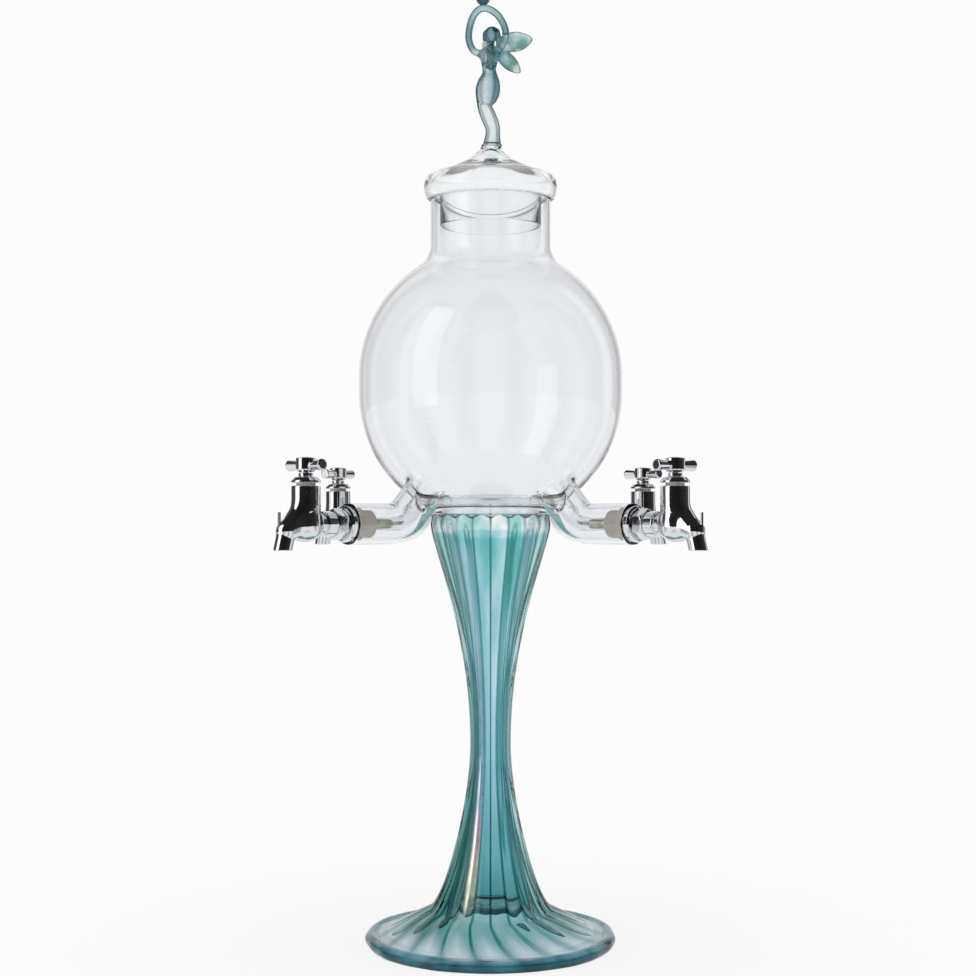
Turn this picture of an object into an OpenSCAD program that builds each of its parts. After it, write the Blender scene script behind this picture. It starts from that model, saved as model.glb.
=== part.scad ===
// Glass drink fountain with a lift-off lid and four screw-down taps.
// Millimetres, +Z up. The origin is at the centre of the foot's underside and the front faces -Y.

/* [Foot and stem] */
// Diameter over the rolled rim of the foot
foot_d = 142.6; // [130:0.2:170]
// Diameter of the rolled rim's round section
rim_bead_d = 7.8; // [6:0.2:10]
// Height of the stem's top face
stem_h = 245.6; // [215:0.2:290]
// Radius at which the stem turns into the foot disc
root_r = 36; // [32:0.5:42]
// Height of that turn
root_h = 19.5; // [17:0.5:24]
// Diameter at the waist
waist_d = 23.3; // [20:0.1:32]
// Height of the waist
waist_h = 114; // [95:1:135]
// Diameter at the shoulder under the collar
shoulder_d = 68.6; // [64:0.2:76]
// Height of the rounded edge above the shoulder
shoulder_edge = 5.6; // [3:0.2:9]
// Thickness of the blown wall
stem_wall = 3; // [2.4:0.1:4]
// Number of flutes round the stem
flute_count = 20; // [12:1:24]
// Depth of a flute where the stem is wide
flute_depth = 1.3; // [0.4:0.1:1.6]
// Turn of the flutes across the foot disc, in degrees
foot_swirl = 12; // [0:1:25]

/* [Collar and globe] */
// Diameter of the collar between stem and globe
collar_d = 66.4; // [60:0.2:67]
// Bore of the collar
collar_bore = 52; // [40:0.5:56]
// Height of the collar
collar_h = 6.6; // [5:0.2:9]
// Diameter of the globe
globe_d = 150; // [140:1:165]
// Height of the straight band at the globe's middle
globe_band = 9.7; // [2:0.1:20]
// Wall of the globe
globe_wall = 2.2; // [1.8:0.1:3]
// Thickness of the globe's raised floor
floor_t = 2.5; // [2:0.1:3.4]
// Radius that rounds the edge of the raised floor
floor_round = 4; // [2:0.2:5]
// Height above the stem at which the globe meets the collar
seam_rise = 0.7; // [0.2:0.1:2]
// Outer diameter of the neck
neck_d = 68.6; // [64:0.2:76]
// Wall of the neck
neck_wall = 2; // [1.6:0.1:2.6]
// Height of the neck's rim above the top of the globe
neck_rise = 26.4; // [20:0.2:40]
// Radius of the fillet between neck and globe
neck_fillet = 16; // [8:0.5:22]
// Rounding of the neck's rim
rim_round = 0.6; // [0.2:0.1:0.8]

/* [Glass arms] */
// Outer diameter of a glass arm
arm_d = 22; // [20:0.5:24]
// Wall of a glass arm
arm_wall = 2; // [1.5:0.1:2.5]
// Depth of the arm's axis below the top of the stem
arm_drop = 6.1; // [4:0.1:9]
// Slope at which the arm leaves the globe, in degrees
arm_slope = 45; // [40:1:50]
// Radius of the arm's bend
bend_r = 18; // [15:0.5:22]
// Distance from the fountain's axis to the end of the bend
bend_reach = 77; // [74:0.5:82]
// Distance from the fountain's axis to the mouth of the arm
arm_reach = 107.5; // [104:0.5:125]

/* [Stopper, shank and nut] */
// Diameter of the stopper's narrow end
stopper_tip_d = 15; // [12:0.2:16]
// Length of the stopper's narrow end
stopper_tip_l = 9.1; // [6:0.1:12]
// Length of the stopper's wide end
stopper_l = 5.4; // [4:0.1:10]
// Diameter of the shank
shank_d = 5.2; // [4.6:0.1:6]
// Bore of the shank
shank_bore = 3.4; // [2.5:0.1:3.8]
// Length of shank that stands in the arm
shank_in = 29.5; // [20:0.5:32]
// Length of shank screwed into the tap
shank_grip = 8; // [5:0.5:11]
// Diameter of the flange washer
flange_d = 19.6; // [16:0.2:22]
// Thickness of the flange washer
flange_t = 3.5; // [2:0.1:4.5]
// Lock nut across corners
nut_corners = 16.8; // [15.2:0.2:19]
// Thickness of the lock nut
nut_t = 7; // [5:0.2:10]

/* [Tap body] */
// Diameter of the barrel
barrel_d = 15.5; // [14:0.1:18]
// Height of the barrel's top above the arm's axis
barrel_h = 19.9; // [18.3:0.1:24]
// Depth of the belly's centre below the arm's axis
belly_drop = 0.9; // [0:0.1:2]
// Length from the lock nut to the spindle's axis
inlet_l = 17; // [15:0.2:22]
// Diameter of the inlet
inlet_d = 11.4; // [9:0.2:13]
// Diameter of the shoulder against the lock nut
shoulder_ring_d = 14; // [13.2:0.2:15]
// Length of that shoulder
shoulder_ring_l = 6.5; // [3:0.1:7]
// Bore of the inlet behind the shank
inlet_bore = 4.4; // [3:0.1:4.6]
// Height of the valve seat above the arm's axis
seat_h = 3.2; // [2.8:0.1:4]
// Bore of the valve seat
seat_bore = 4; // [3:0.1:4.4]
// Diameter of the valve chamber, which the bonnet's spigot closes
chamber_d = 8.1; // [7.6:0.1:9]
// Distance of the outlet's centre from the spindle's axis
spout_reach = 15.3; // [14:0.1:18]
// Depth of the outlet below the arm's axis
spout_drop = 13.5; // [11:0.1:18]
// Lean of the spout from upright, in degrees
spout_lean = 15; // [8:1:20]
// Diameter of the spout at its end
spout_d = 9.8; // [8.6:0.1:11]
// Bore of the spout
spout_bore = 6.4; // [4.5:0.1:7]
// Bore from the chamber to the spout
outlet_bore = 4.6; // [3:0.1:5]
// Height at which the body's shoulder leaves the barrel
horn_h = 11; // [9:0.2:13]
// Height of the lug's top above the arm's axis
lug_h = 6.3; // [4:0.1:8]
// Width of the lug
lug_w = 1.6; // [1.2:0.1:4]
// Thickness of the lug
lug_t = 1.2; // [1:0.1:2]

/* [Bonnet, spindle and valve] */
// Thickness of the washer under the bonnet
seal_t = 1.5; // [1:0.1:3]
// Diameter of the washer under the bonnet
seal_d = 10; // [9.6:0.1:13]
// Diameter of the bonnet
bonnet_d = 15.7; // [14:0.1:18]
// Thickness of the bonnet's domed flange
bonnet_t = 2.6; // [2.4:0.1:4]
// Height of the flange's upright rim
bonnet_rim_h = 0.9; // [0.4:0.1:1.6]
// Diameter of the bonnet's neck
bonnet_neck_d = 7.8; // [7:0.1:9]
// Height of the bonnet's neck
bonnet_neck_h = 2.5; // [2:0.1:5]
// Length of the bonnet's spigot in the barrel
spigot_l = 11.4; // [11:0.1:12]
// Length of the hexagon guide at the spigot's end
guide_l = 5.5; // [5.4:0.1:5.9]
// Diameter of the spindle's shaft
spindle_d = 3.2; // [2.8:0.1:3.6]
// Diameter of the spindle's thrust collar
thrust_d = 4.7; // [4.4:0.1:4.8]
// Thickness of the thrust collar
thrust_t = 1.4; // [1:0.1:2]
// Diameter of the spindle's threaded tail
tail_d = 2.4; // [2:0.1:2.6]
// Length of the spindle's threaded tail
tail_l = 5.7; // [5:0.1:6]
// Side of the square that drives the spindle
drive_side = 2.2; // [1.8:0.1:2.2]
// Section diameter of the spindle's rubber ring
gland_d = 1; // [0.8:0.1:1.2]
// Jumper's hexagon across flats
jumper_flats = 4.8; // [4.6:0.1:5]
// Diameter of the jumper's plate
jumper_plate_d = 6.8; // [6:0.1:7.2]
// Thickness of the jumper's plate
jumper_plate_t = 1.3; // [1:0.1:1.6]
// Diameter of the valve washer
washer_d = 6.6; // [5.6:0.1:7]
// Thickness of the valve washer
washer_t = 1.6; // [1.2:0.1:2]
// Rise of the jumper in one turn of the handle
thread_pitch = 2; // [1:0.1:2]

/* [Handle] */
// Diameter of the hub
hub_d = 10.6; // [9:0.1:12]
// Height of the hub
hub_h = 7.6; // [6.8:0.1:9]
// Gap between hub and bonnet
hub_gap = 0.3; // [0.2:0.1:0.6]
// Bevel under the hub
hub_bevel = 1.3; // [0.8:0.1:1.6]
// Span of the handle from tip to tip
handle_span = 27; // [22:0.5:32]
// Diameter of a handle arm at the hub
handle_root_d = 4.6; // [4:0.1:5.4]
// Diameter of a handle arm at its tip
handle_tip_d = 6.2; // [5.6:0.1:6.6]
// Diameter of the screw's domed head
screw_head_d = 6.4; // [5:0.1:8]
// Height of the screw's domed head
screw_head_h = 0.6; // [0.4:0.1:1.4]
// Turn at which each handle stands when shut: front left, front right, rear left, rear right
handle_rest = [91, 83, 101, 90]; // [0:1:179]

/* [Lid] */
// Diameter of the lid's flange
lid_d = 76; // [72:0.2:84]
// Height of the flange bead
flange_h = 13.7; // [11:0.1:17]
// Diameter of the stopper ring inside the neck
lid_ring_d = 57.6; // [50:0.2:60]
// Depth of the stopper ring below the rim
lid_ring_l = 15.8; // [10:0.2:22]
// Wall of the lid
lid_wall = 2.2; // [1.8:0.1:2.6]
// Height of the cone's top above the flange's underside
cone_h = 29.9; // [26:0.1:36]
// Diameter of the cone's top, on which the figure stands
cone_top_d = 10.8; // [9:0.1:12]
// Thickness of glass at the cone's top
cone_cap = 4; // [3:0.1:6]

/* [Figure] */
// Height of the figure from its base to its shoulders
figure_h = 55.5; // [45:0.5:65]
// Width of the figure's hips
hip_w = 15; // [12:0.2:18]
// Width of the loop that the raised arms make
loop_w = 22; // [18:0.5:26]
// Height of the loop above the shoulders
loop_h = 24.2; // [20:0.2:28]
// Diameter of the glass rod that the arms are drawn from
figure_rod_d = 3.7; // [3:0.1:4.4]
// Diameter of the bead that the hands hold
bead_d = 8; // [6:0.2:10]
// Length of an upper wing
upper_wing_l = 24; // [18:0.5:30]
// Length of a lower wing
lower_wing_l = 20; // [14:0.5:26]
// Width of an upper wing
upper_wing_w = 11.4; // [8:0.2:14]
// Width of a lower wing
lower_wing_w = 9.2; // [7:0.2:12]
// Rise of an upper wing, in degrees
wing_rise = 12; // [0:1:30]
// Droop of a lower wing, in degrees
wing_droop = 38; // [25:1:50]
// Thickness of a wing
wing_t = 2.4; // [1.6:0.1:3]
// Direction in which the figure's back points, in degrees from +X
back_azimuth = 60; // [0:5:180]
// Angle of each pair of wings from that direction
wing_spread = 40; // [30:5:60]

/* [Fits] */
// Clearance on the radius of a running or screwed fit
fit = 0.05; // [0.02:0.01:0.08]
// Gap between fused or seated pieces of glass
seat_gap = 0.1; // [0.05:0.01:0.15]

/* [Hidden] */
$fn = 72;

TAPS = ["front_left", "front_right", "rear_left", "rear_right"];
TAP_AZIMUTHS = [225, 315, 135, 45];
PER_TAP = [
    "glass_arm", "stopper", "shank", "tap_body", "bonnet",
    "spindle", "handle", "handle_screw", "jumper", "valve_washer"
];

// Foot and stem
rim_flat = 0.6;
rim_lap = 2.2;
rim_flat_lift = rim_bead_d / 2 - rim_flat;
rim_centre_r = foot_d / 2 - rim_bead_d / 2;
rim_seat_r = rim_centre_r - rim_lap;
waist_r = waist_d / 2;
shoulder_r = shoulder_d / 2;
shoulder_h = stem_h - shoulder_edge;
top_r = shoulder_r - 0.9;
FLUTE_POINTS = 4;
STEM_SIDES = flute_count * FLUTE_POINTS;
flute_share = 0.045;

// Collar, globe and neck
collar_r = collar_d / 2;
globe_r = globe_d / 2;
neck_r = neck_d / 2;
floor_z = stem_h + collar_h;
floor_r = collar_r + globe_wall - floor_round;
globe_low_z = stem_h + seam_rise + sqrt(globe_r ^ 2 - collar_r ^ 2);
globe_top_z = globe_low_z + globe_band;
neck_z = globe_top_z + globe_r + neck_rise;

// Arms and taps
arm_r = arm_d / 2;
arm_z = stem_h - arm_drop;
arm_bore = arm_d - 2 * arm_wall;
leg_r = bend_reach - bend_r * sin(arm_slope);
leg_z = arm_z + bend_r * (1 - cos(arm_slope));
leg_l = (leg_r - collar_r) / cos(arm_slope);
bend_swell = 0.05;
bend_lap = 0.2;
nut_r = arm_reach + flange_t;
tap_r = nut_r + nut_t + inlet_l;
spout_root_z = -3.4;
spout_root = [spout_reach - (spout_drop + spout_root_z) * tan(spout_lean), 0, spout_root_z];
outlet_start = [3, 0, seat_h + 4.3];
lug_set = 0.6;
lug_foot_z = spout_root_z - 1;

// Bonnet, spindle and valve, measured from the arm's axis
bonnet_z = barrel_h + seal_t;
spigot_z = bonnet_z - spigot_l;
spigot_d = chamber_d - 2 * fit;
thrust_z = spigot_z + guide_l;
bonnet_top = bonnet_z + bonnet_t + bonnet_neck_h;
gland_z = bonnet_z + bonnet_t / 2;
gland_centre_r = spindle_d / 2 + fit + gland_d / 2;
hub_z = bonnet_top + hub_gap;
drive_l = hub_h - 2;
washer_z = seat_h + fit;
plate_z = washer_z + washer_t;
jumper_z = plate_z + jumper_plate_t;
headroom = 0.45;
jumper_l = thrust_z - jumper_z - thread_pitch - headroom;
washer_pin_d = 1.8;
screw_d = 1.2;

// Lid and figure
lid_z = neck_z + seat_gap;
lid_r = lid_d / 2;
lid_ring_r = lid_ring_d / 2;
figure_z = lid_z + cone_h;
shoulder_z = figure_z + figure_h;
rod_r = figure_rod_d / 2;
loop_x = -1.5;
loop_z = shoulder_z + loop_h / 2;
bead_x = -4.3;
bead_sink = 0.5;
wing_root_r = 3.2;
wing_root_w = 1.6;
wing_root_t = 0.8;
upper_wing_lift = 1;
wing_step = 3.5;

// The figure from base to crown: share of the height to the shoulders, then sideways shift, half width
// and half depth in tenths of the hips' width
BODY = [
    [0, 0.333, 3.533, 3.533],
    [0.07, 0.867, 3, 3],
    [0.18, 1.333, 2.467, 2.667],
    [0.28, 0, 3.067, 2.933],
    [0.38, -1.733, 3.2, 2.933],
    [0.43, -2.4, 3.067, 3.2],
    [0.49, -2, 3.933, 3.733],
    [0.585, -1, 5, 4.267],
    [0.685, -0.467, 3.933, 3.467],
    [0.76, -0.333, 2.733, 2.533],
    [0.83, -0.533, 2.733, 2.4],
    [0.9, -0.733, 3.333, 2.667],
    [0.975, -0.733, 4.2, 2.4],
    [1.02, -0.333, 2.667, 2],
    [1.06, 0, 1.533, 1.533],
    [1.1, 0.267, 2.4, 2.333],
    [1.16, 0.533, 3.333, 2.933],
    [1.21, 0.4, 2.6, 2.4],
    [1.24, 0.267, 1.067, 1.067]
];
body_unit = hip_w / 10;
BODY_SIDES = 20;

function bezier(p, t) =
    (1 - t) ^ 3 * p[0] + 3 * t * (1 - t) ^ 2 * p[1] + 3 * t ^ 2 * (1 - t) * p[2] + t ^ 3 * p[3];
function curve(p, steps, first = 0) = [for (i = [first:steps]) bezier(p, i / steps)];
function clamp01(x) = max(0, min(1, x));

// The stem's outer curve in four stretches: foot disc, lower flare, upper flare and rounded edge
STEM = [
    [
        [rim_seat_r, rim_bead_d - 1.3],
        [rim_seat_r - 8, rim_bead_d + 0.8],
        [root_r + 11, root_h - 5],
        [root_r, root_h]
    ],
    [
        [root_r, root_h],
        [root_r - 9.9, root_h + 4.5],
        [waist_r, waist_h - 0.33 * (waist_h - root_h)],
        [waist_r, waist_h]
    ],
    [
        [waist_r, waist_h],
        [waist_r, waist_h + 0.505 * (shoulder_h - waist_h)],
        [shoulder_r - 0.6, shoulder_h - 6.4],
        [shoulder_r, shoulder_h]
    ],
    [
        [shoulder_r, shoulder_h],
        [shoulder_r, shoulder_h + shoulder_edge / 2],
        [top_r + 0.3, stem_h - shoulder_edge / 5],
        [top_r, stem_h]
    ]
];
function stem_point(t) = bezier(STEM[min(3, floor(t))], t - min(3, floor(t)));
function stem_normal(t) =
    let (d = stem_point(min(4, t + 0.01)) - stem_point(max(0, t - 0.01)))
    [d[1], -d[0]] / norm(d);
function stem_inside(t) =
    t == 0 ? stem_point(0) - [0, stem_wall] :
    t == 4 ? stem_point(4) - [stem_wall, 0] :
    stem_point(t) - stem_wall * stem_normal(t);

// How deep a flute is at a point of the curve: shallow at the waist, gone at the rim
function flute_at(t) =
    let (p = stem_point(t))
    min(flute_depth, flute_share * p[0])
    * clamp01((rim_seat_r - p[0]) / 12)
    * clamp01(0.25 + (stem_h - p[1]) / 8);
function swirl_at(t) =
    let (p = stem_point(t))
    t > 1 ? 0 : foot_swirl * (p[0] - root_r) / (rim_seat_r - root_r);

function ring_point(p, angle) = [p[0] * cos(angle), p[0] * sin(angle), p[1]];
function fluted_ring(t) = [
    for (i = [0:STEM_SIDES - 1])
        let (groove = 1 - abs(sin(180 * i / FLUTE_POINTS)))
        ring_point(
            stem_point(t) - flute_at(t) * groove * stem_normal(t),
            360 * i / STEM_SIDES + swirl_at(t)
        )
];
function plain_ring(t) = [
    for (i = [0:STEM_SIDES - 1])
        ring_point(stem_inside(t), 360 * i / STEM_SIDES + swirl_at(t))
];

module at_tap(i, turn = 0) {
    rotate([0, 0, TAP_AZIMUTHS[i]])
        translate([tap_r, 0, arm_z])
            rotate([0, 0, turn])
                children();
}

// Stands a child's +Z along the arm's axis, at a distance from the fountain's axis
module along_arm(i, distance) {
    rotate([0, 0, TAP_AZIMUTHS[i]])
        translate([distance, 0, arm_z])
            rotate([0, 90, 0])
                children();
}

module rod(from, to, d) {
    span = to - from;
    length = norm(span);
    translate(from)
        rotate([0, acos(span[2] / length), atan2(span[1], span[0])])
            cylinder(d = d, h = length);
}

// Skins rings of equal length, each a list of points, into one closed solid
module loft(rings) {
    n = len(rings[0]);
    last = len(rings) - 1;
    points = [for (ring = rings, p = ring) p];
    sides = [
        for (i = [0:last - 1], j = [0:n - 1])
            let (k = (j + 1) % n, a = i * n + j, b = i * n + k)
            each [[a, a + n, b + n], [a, b + n, b]]
    ];
    bottom = [[for (j = [0:n - 1]) j]];
    top = [[for (j = [n - 1:-1:0]) last * n + j]];
    polyhedron(points, concat(sides, bottom, top), convexity = 4);
}

module foot_rim() {
    color("darkcyan")
        rotate_extrude()
            intersection() {
                translate([rim_centre_r, rim_flat_lift])
                    circle(d = rim_bead_d);
                translate([rim_seat_r, 0])
                    square([rim_bead_d * 2, rim_bead_d * 2]);
            }
}

module pedestal() {
    outer = [for (t = [0, 0.15, 0.3, 0.45, 0.6, 0.8, 1]) t];
    lower = [for (i = [1:7]) 1 + i / 7];
    upper = [for (i = [1:9]) 2 + i / 9];
    inner = [4, 3, 2.8, 2.6, 2.4, 2.2, 2, 1.75, 1.5, 1.25, 1, 0.7, 0.35, 0];
    rings = concat(
        [for (t = concat(outer, lower, upper, [3.5, 4])) fluted_ring(t)],
        [for (t = inner) plain_ring(t)]
    );
    count = len(rings);
    points = [for (ring = rings, p = ring) p];
    faces = [
        for (i = [0:count - 1], j = [0:STEM_SIDES - 1])
            let (
                k = (i + 1) % count,
                n = (j + 1) % STEM_SIDES,
                a = i * STEM_SIDES + j,
                b = i * STEM_SIDES + n,
                c = k * STEM_SIDES + n,
                d = k * STEM_SIDES + j
            )
            each [[a, d, c], [a, c, b]]
    ];
    color("mediumaquamarine")
        polyhedron(points, faces, convexity = 10);
}

module collar() {
    color("lightcyan")
        rotate_extrude()
            difference() {
                translate([0, stem_h])
                    square([collar_r - seat_gap, collar_h]);
                translate([0, stem_h - 1])
                    square([collar_bore / 2, collar_h + 2]);
            }
}

// The neck's half outline with its fillet onto the globe, drawn in by an inset
module neck_outline(inset, top) {
    fillet_r = neck_fillet + inset;
    centre_x = neck_r + neck_fillet;
    centre_z = globe_top_z + sqrt((globe_r + neck_fillet) ^ 2 - centre_x ^ 2);
    translate([0, globe_top_z])
        square([neck_r - inset, top - globe_top_z]);
    difference() {
        polygon([[0, globe_top_z], [centre_x, centre_z], [0, centre_z]]);
        translate([centre_x, centre_z])
            circle(fillet_r);
    }
}

module globe_outline(inset) {
    translate([0, globe_low_z])
        circle(globe_r - inset);
    translate([0, globe_top_z])
        circle(globe_r - inset);
    translate([0, globe_low_z])
        square([globe_r - inset, globe_band]);
}

module globe_section() {
    rim_low = neck_z - rim_round;
    inner_neck_r = neck_r - neck_wall;
    difference() {
        union() {
            globe_outline(0);
            neck_outline(0, rim_low);
            translate([inner_neck_r + rim_round, rim_low - 1])
                square([neck_wall - 2 * rim_round, rim_round + 1]);
            for (x = [inner_neck_r + rim_round, neck_r - rim_round])
                translate([x, rim_low])
                    circle(rim_round);
        }
        difference() {
            union() {
                globe_outline(globe_wall);
                neck_outline(neck_wall, rim_low + 0.001);
                translate([0, rim_low - 1])
                    square([inner_neck_r, 3]);
            }
            translate([0, stem_h])
                square([floor_r, collar_h + floor_t]);
            translate([0, stem_h])
                square([floor_r + floor_round, collar_h + floor_t - floor_round]);
            translate([floor_r, floor_z + floor_t - floor_round])
                circle(floor_round);
        }
        square([collar_r, floor_z]);
        translate([-globe_d, 0])
            square([globe_d, neck_z + 10]);
    }
}

// Places a child's +Z along the arm's sloping leg, from the bend towards the globe
module at_leg() {
    translate([leg_r, 0, leg_z])
        rotate([0, arm_slope - 90, 0])
            children();
}

module globe() {
    color("lightcyan")
        difference() {
            rotate_extrude($fn = 144)
                globe_section();
            for (azimuth = TAP_AZIMUTHS)
                rotate([0, 0, azimuth])
                    at_leg()
                        cylinder(d = arm_bore, h = leg_l);
        }
}

module arm_ring(swell = 0) {
    difference() {
        circle(r = arm_r + swell);
        circle(r = arm_r - arm_wall - swell);
    }
}

// Leg, bend and straight run of one tube, trimmed where its leg meets the globe. Bending the hot tube
// leaves its wall a little thicker there.
module glass_arm(i) {
    color("lightcyan")
        rotate([0, 0, TAP_AZIMUTHS[i]])
            difference() {
                union() {
                    at_leg()
                        translate([0, 0, -bend_lap])
                            linear_extrude(leg_l + bend_lap)
                                arm_ring();
                    translate([bend_reach, 0, arm_z + bend_r])
                        rotate([90, 0, 0])
                            rotate([0, 0, 270 - arm_slope])
                                rotate_extrude(angle = arm_slope)
                                    translate([bend_r, 0])
                                        arm_ring(bend_swell);
                    translate([bend_reach - bend_lap, 0, arm_z])
                        rotate([0, 90, 0])
                            linear_extrude(arm_reach - bend_reach + bend_lap)
                                arm_ring();
                }
                translate([0, 0, globe_low_z])
                    sphere(globe_r + seat_gap / 2, $fn = 144);
            }
}

module stopper(i) {
    wide_r = arm_bore / 2 - fit;
    tip_r = stopper_tip_d / 2;
    bore_r = shank_d / 2 + fit;
    edge = 0.8;
    color("wheat")
        along_arm(i, arm_reach)
            rotate_extrude()
                polygon([
                    [bore_r, 0],
                    [wide_r, 0],
                    [wide_r, -stopper_l + edge],
                    [wide_r - edge, -stopper_l],
                    [tip_r, -stopper_l],
                    [tip_r, -stopper_l - stopper_tip_l + edge],
                    [tip_r - edge, -stopper_l - stopper_tip_l],
                    [bore_r, -stopper_l - stopper_tip_l]
                ]);
}

module shank(i) {
    color("darkkhaki")
        along_arm(i, arm_reach - shank_in)
            difference() {
                cylinder(d = shank_d, h = shank_in + flange_t + nut_t + shank_grip);
                translate([0, 0, -1])
                    cylinder(d = shank_bore, h = shank_in + flange_t + nut_t + shank_grip + 2);
            }
}

module flange_washer(i) {
    back_edge = 0.4;
    front_edge = 0.9;
    color("silver")
        along_arm(i, arm_reach)
            rotate_extrude()
                polygon([
                    [shank_d / 2 + fit, 0],
                    [flange_d / 2 - back_edge, 0],
                    [flange_d / 2, back_edge],
                    [flange_d / 2, flange_t - front_edge],
                    [flange_d / 2 - front_edge, flange_t],
                    [shank_d / 2 + fit, flange_t]
                ]);
}

module lock_nut(i) {
    corner = nut_corners / 2;
    flat = corner * cos(30);
    bevel = (corner - flat) * 0.6;
    color("silver")
        along_arm(i, nut_r)
            difference() {
                intersection() {
                    cylinder(r = corner, h = nut_t, $fn = 6);
                    rotate_extrude()
                        polygon([
                            [0, 0],
                            [flat, 0],
                            [corner + 0.1, bevel],
                            [corner + 0.1, nut_t - bevel],
                            [flat, nut_t],
                            [0, nut_t]
                        ]);
                }
                translate([0, 0, -1])
                    cylinder(d = shank_d + 2 * fit, h = nut_t + 2);
            }
}

module flange_washers() {
    for (i = [0:3])
        flange_washer(i);
}

module lock_nuts() {
    for (i = [0:3])
        lock_nut(i);
}

// Half outline of a round-ended rod: the round end at the origin, the rod below it
module capsule_half(r, length) {
    intersection() {
        circle(r);
        translate([0, -r])
            square([r, 2 * r]);
    }
    translate([0, -length])
        square([r, length]);
}

module at_spout() {
    translate(spout_root)
        rotate([0, -spout_lean, 0])
            children();
}

// The body's outside: barrel with its round belly, inlet, spout, and the shoulder that blends them
module tap_casting() {
    spout_l = (spout_drop + spout_root_z) / cos(spout_lean);
    shoulder_bevel = 0.8;
    inside = 0.8;
    translate([0, 0, -belly_drop])
        mirror([0, 0, 1])
            rotate_extrude()
                capsule_half(barrel_d / 2, barrel_h + belly_drop);
    translate([-inlet_l, 0, 0])
        rotate([0, 90, 0])
            rotate_extrude()
                polygon([
                    [0, 0],
                    [shoulder_ring_d / 2 - shoulder_bevel, 0],
                    [shoulder_ring_d / 2, shoulder_bevel],
                    [shoulder_ring_d / 2, shoulder_ring_l - shoulder_bevel],
                    [shoulder_ring_d / 2 - shoulder_bevel, shoulder_ring_l],
                    [inlet_d / 2, shoulder_ring_l],
                    [inlet_d / 2, inlet_l],
                    [0, inlet_l]
                ]);
    difference() {
        at_spout()
            rotate_extrude()
                capsule_half(spout_d / 2, spout_l + spout_d);
        translate([0, -spout_d, -spout_drop - 2 * spout_d])
            cube([2 * spout_reach, 2 * spout_d, 2 * spout_d]);
    }
    hull() {
        translate([0, 0, horn_h - 1])
            cylinder(d = barrel_d - inside, h = 1, $fn = 32);
        translate([0, 0, -belly_drop])
            sphere(d = barrel_d - inside, $fn = 32);
        translate(spout_root)
            sphere(d = spout_d - inside / 4, $fn = 32);
    }
    translate([spout_root[0] + spout_d / 2 - lug_set, -lug_w / 2, lug_foot_z])
        cube([lug_t, lug_w, lug_h - lug_foot_z]);
}

// The way of the drink: shank thread, inlet, seat, chamber, cross bore and spout
module tap_waterway() {
    translate([0, 0, seat_h])
        cylinder(d = chamber_d, h = barrel_h);
    cylinder(d = seat_bore, h = seat_h + 1);
    translate([-inlet_l - 1, 0, 0])
        rotate([0, 90, 0]) {
            cylinder(d = inlet_bore, h = inlet_l + 1);
            cylinder(d = shank_d + 2 * fit, h = shank_grip + 1 + fit);
        }
    rod(outlet_start, spout_root, outlet_bore);
    at_spout()
        rotate_extrude()
            capsule_half(spout_bore / 2, spout_drop + spout_d);
}

module tap_body(i) {
    color("silver")
        at_tap(i)
            difference() {
                tap_casting();
                tap_waterway();
            }
}

module bonnet_seal(i) {
    color("wheat")
        at_tap(i)
            translate([0, 0, barrel_h])
                difference() {
                    cylinder(d = seal_d, h = seal_t);
                    translate([0, 0, -1])
                        cylinder(d = spigot_d + 2 * fit, h = seal_t + 2);
                }
}

module bonnet_seals() {
    for (i = [0:3])
        bonnet_seal(i);
}

module bonnet(i) {
    dome = bonnet_t - bonnet_rim_h;
    color("silver")
        at_tap(i)
            difference() {
                union() {
                    translate([0, 0, spigot_z])
                        cylinder(d = spigot_d, h = spigot_l + 1);
                    rotate_extrude() {
                        translate([0, bonnet_z])
                            square([bonnet_d / 2 - dome, bonnet_t]);
                        translate([0, bonnet_z])
                            square([bonnet_d / 2, bonnet_t - dome]);
                        translate([bonnet_d / 2 - dome, bonnet_z + bonnet_t - dome])
                            intersection() {
                                circle(dome);
                                square(dome);
                            }
                    }
                    translate([0, 0, bonnet_z])
                        cylinder(d = bonnet_neck_d, h = bonnet_t + bonnet_neck_h);
                }
                translate([0, 0, spigot_z - 1])
                    cylinder(d = spindle_d + 2 * fit, h = bonnet_top - spigot_z + 2);
                translate([0, 0, gland_z - gland_d / 2 - fit])
                    cylinder(r = gland_centre_r + gland_d / 2 + fit, h = gland_d + 2 * fit);
                translate([0, 0, thrust_z - 0.01])
                    cylinder(d = thrust_d + 2 * fit, h = thrust_t + 2 * fit + 0.01);
                translate([0, 0, spigot_z - 1])
                    cylinder(r = (jumper_flats / 2 + 1.5 * fit) / cos(30), h = guide_l + 1, $fn = 6);
            }
}

module gland_ring(i) {
    color("dimgray")
        at_tap(i)
            translate([0, 0, gland_z])
                rotate_extrude()
                    translate([gland_centre_r, 0])
                        circle(d = gland_d);
}

module gland_rings() {
    for (i = [0:3])
        gland_ring(i);
}

module spindle(i) {
    thrust_low = thrust_z + fit;
    color("goldenrod")
        at_tap(i, handle_rest[i])
            difference() {
                union() {
                    translate([0, 0, thrust_low - tail_l])
                        cylinder(d = tail_d, h = tail_l + 0.1);
                    translate([0, 0, thrust_low])
                        cylinder(d = thrust_d, h = thrust_t);
                    translate([0, 0, thrust_low])
                        cylinder(d = spindle_d, h = hub_z - thrust_low);
                    translate([-drive_side / 2, -drive_side / 2, hub_z - 0.5])
                        cube([drive_side, drive_side, drive_l + 0.5]);
                }
                translate([0, 0, hub_z + 1])
                    cylinder(d = screw_d + 2 * fit, h = drive_l);
            }
}

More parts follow.
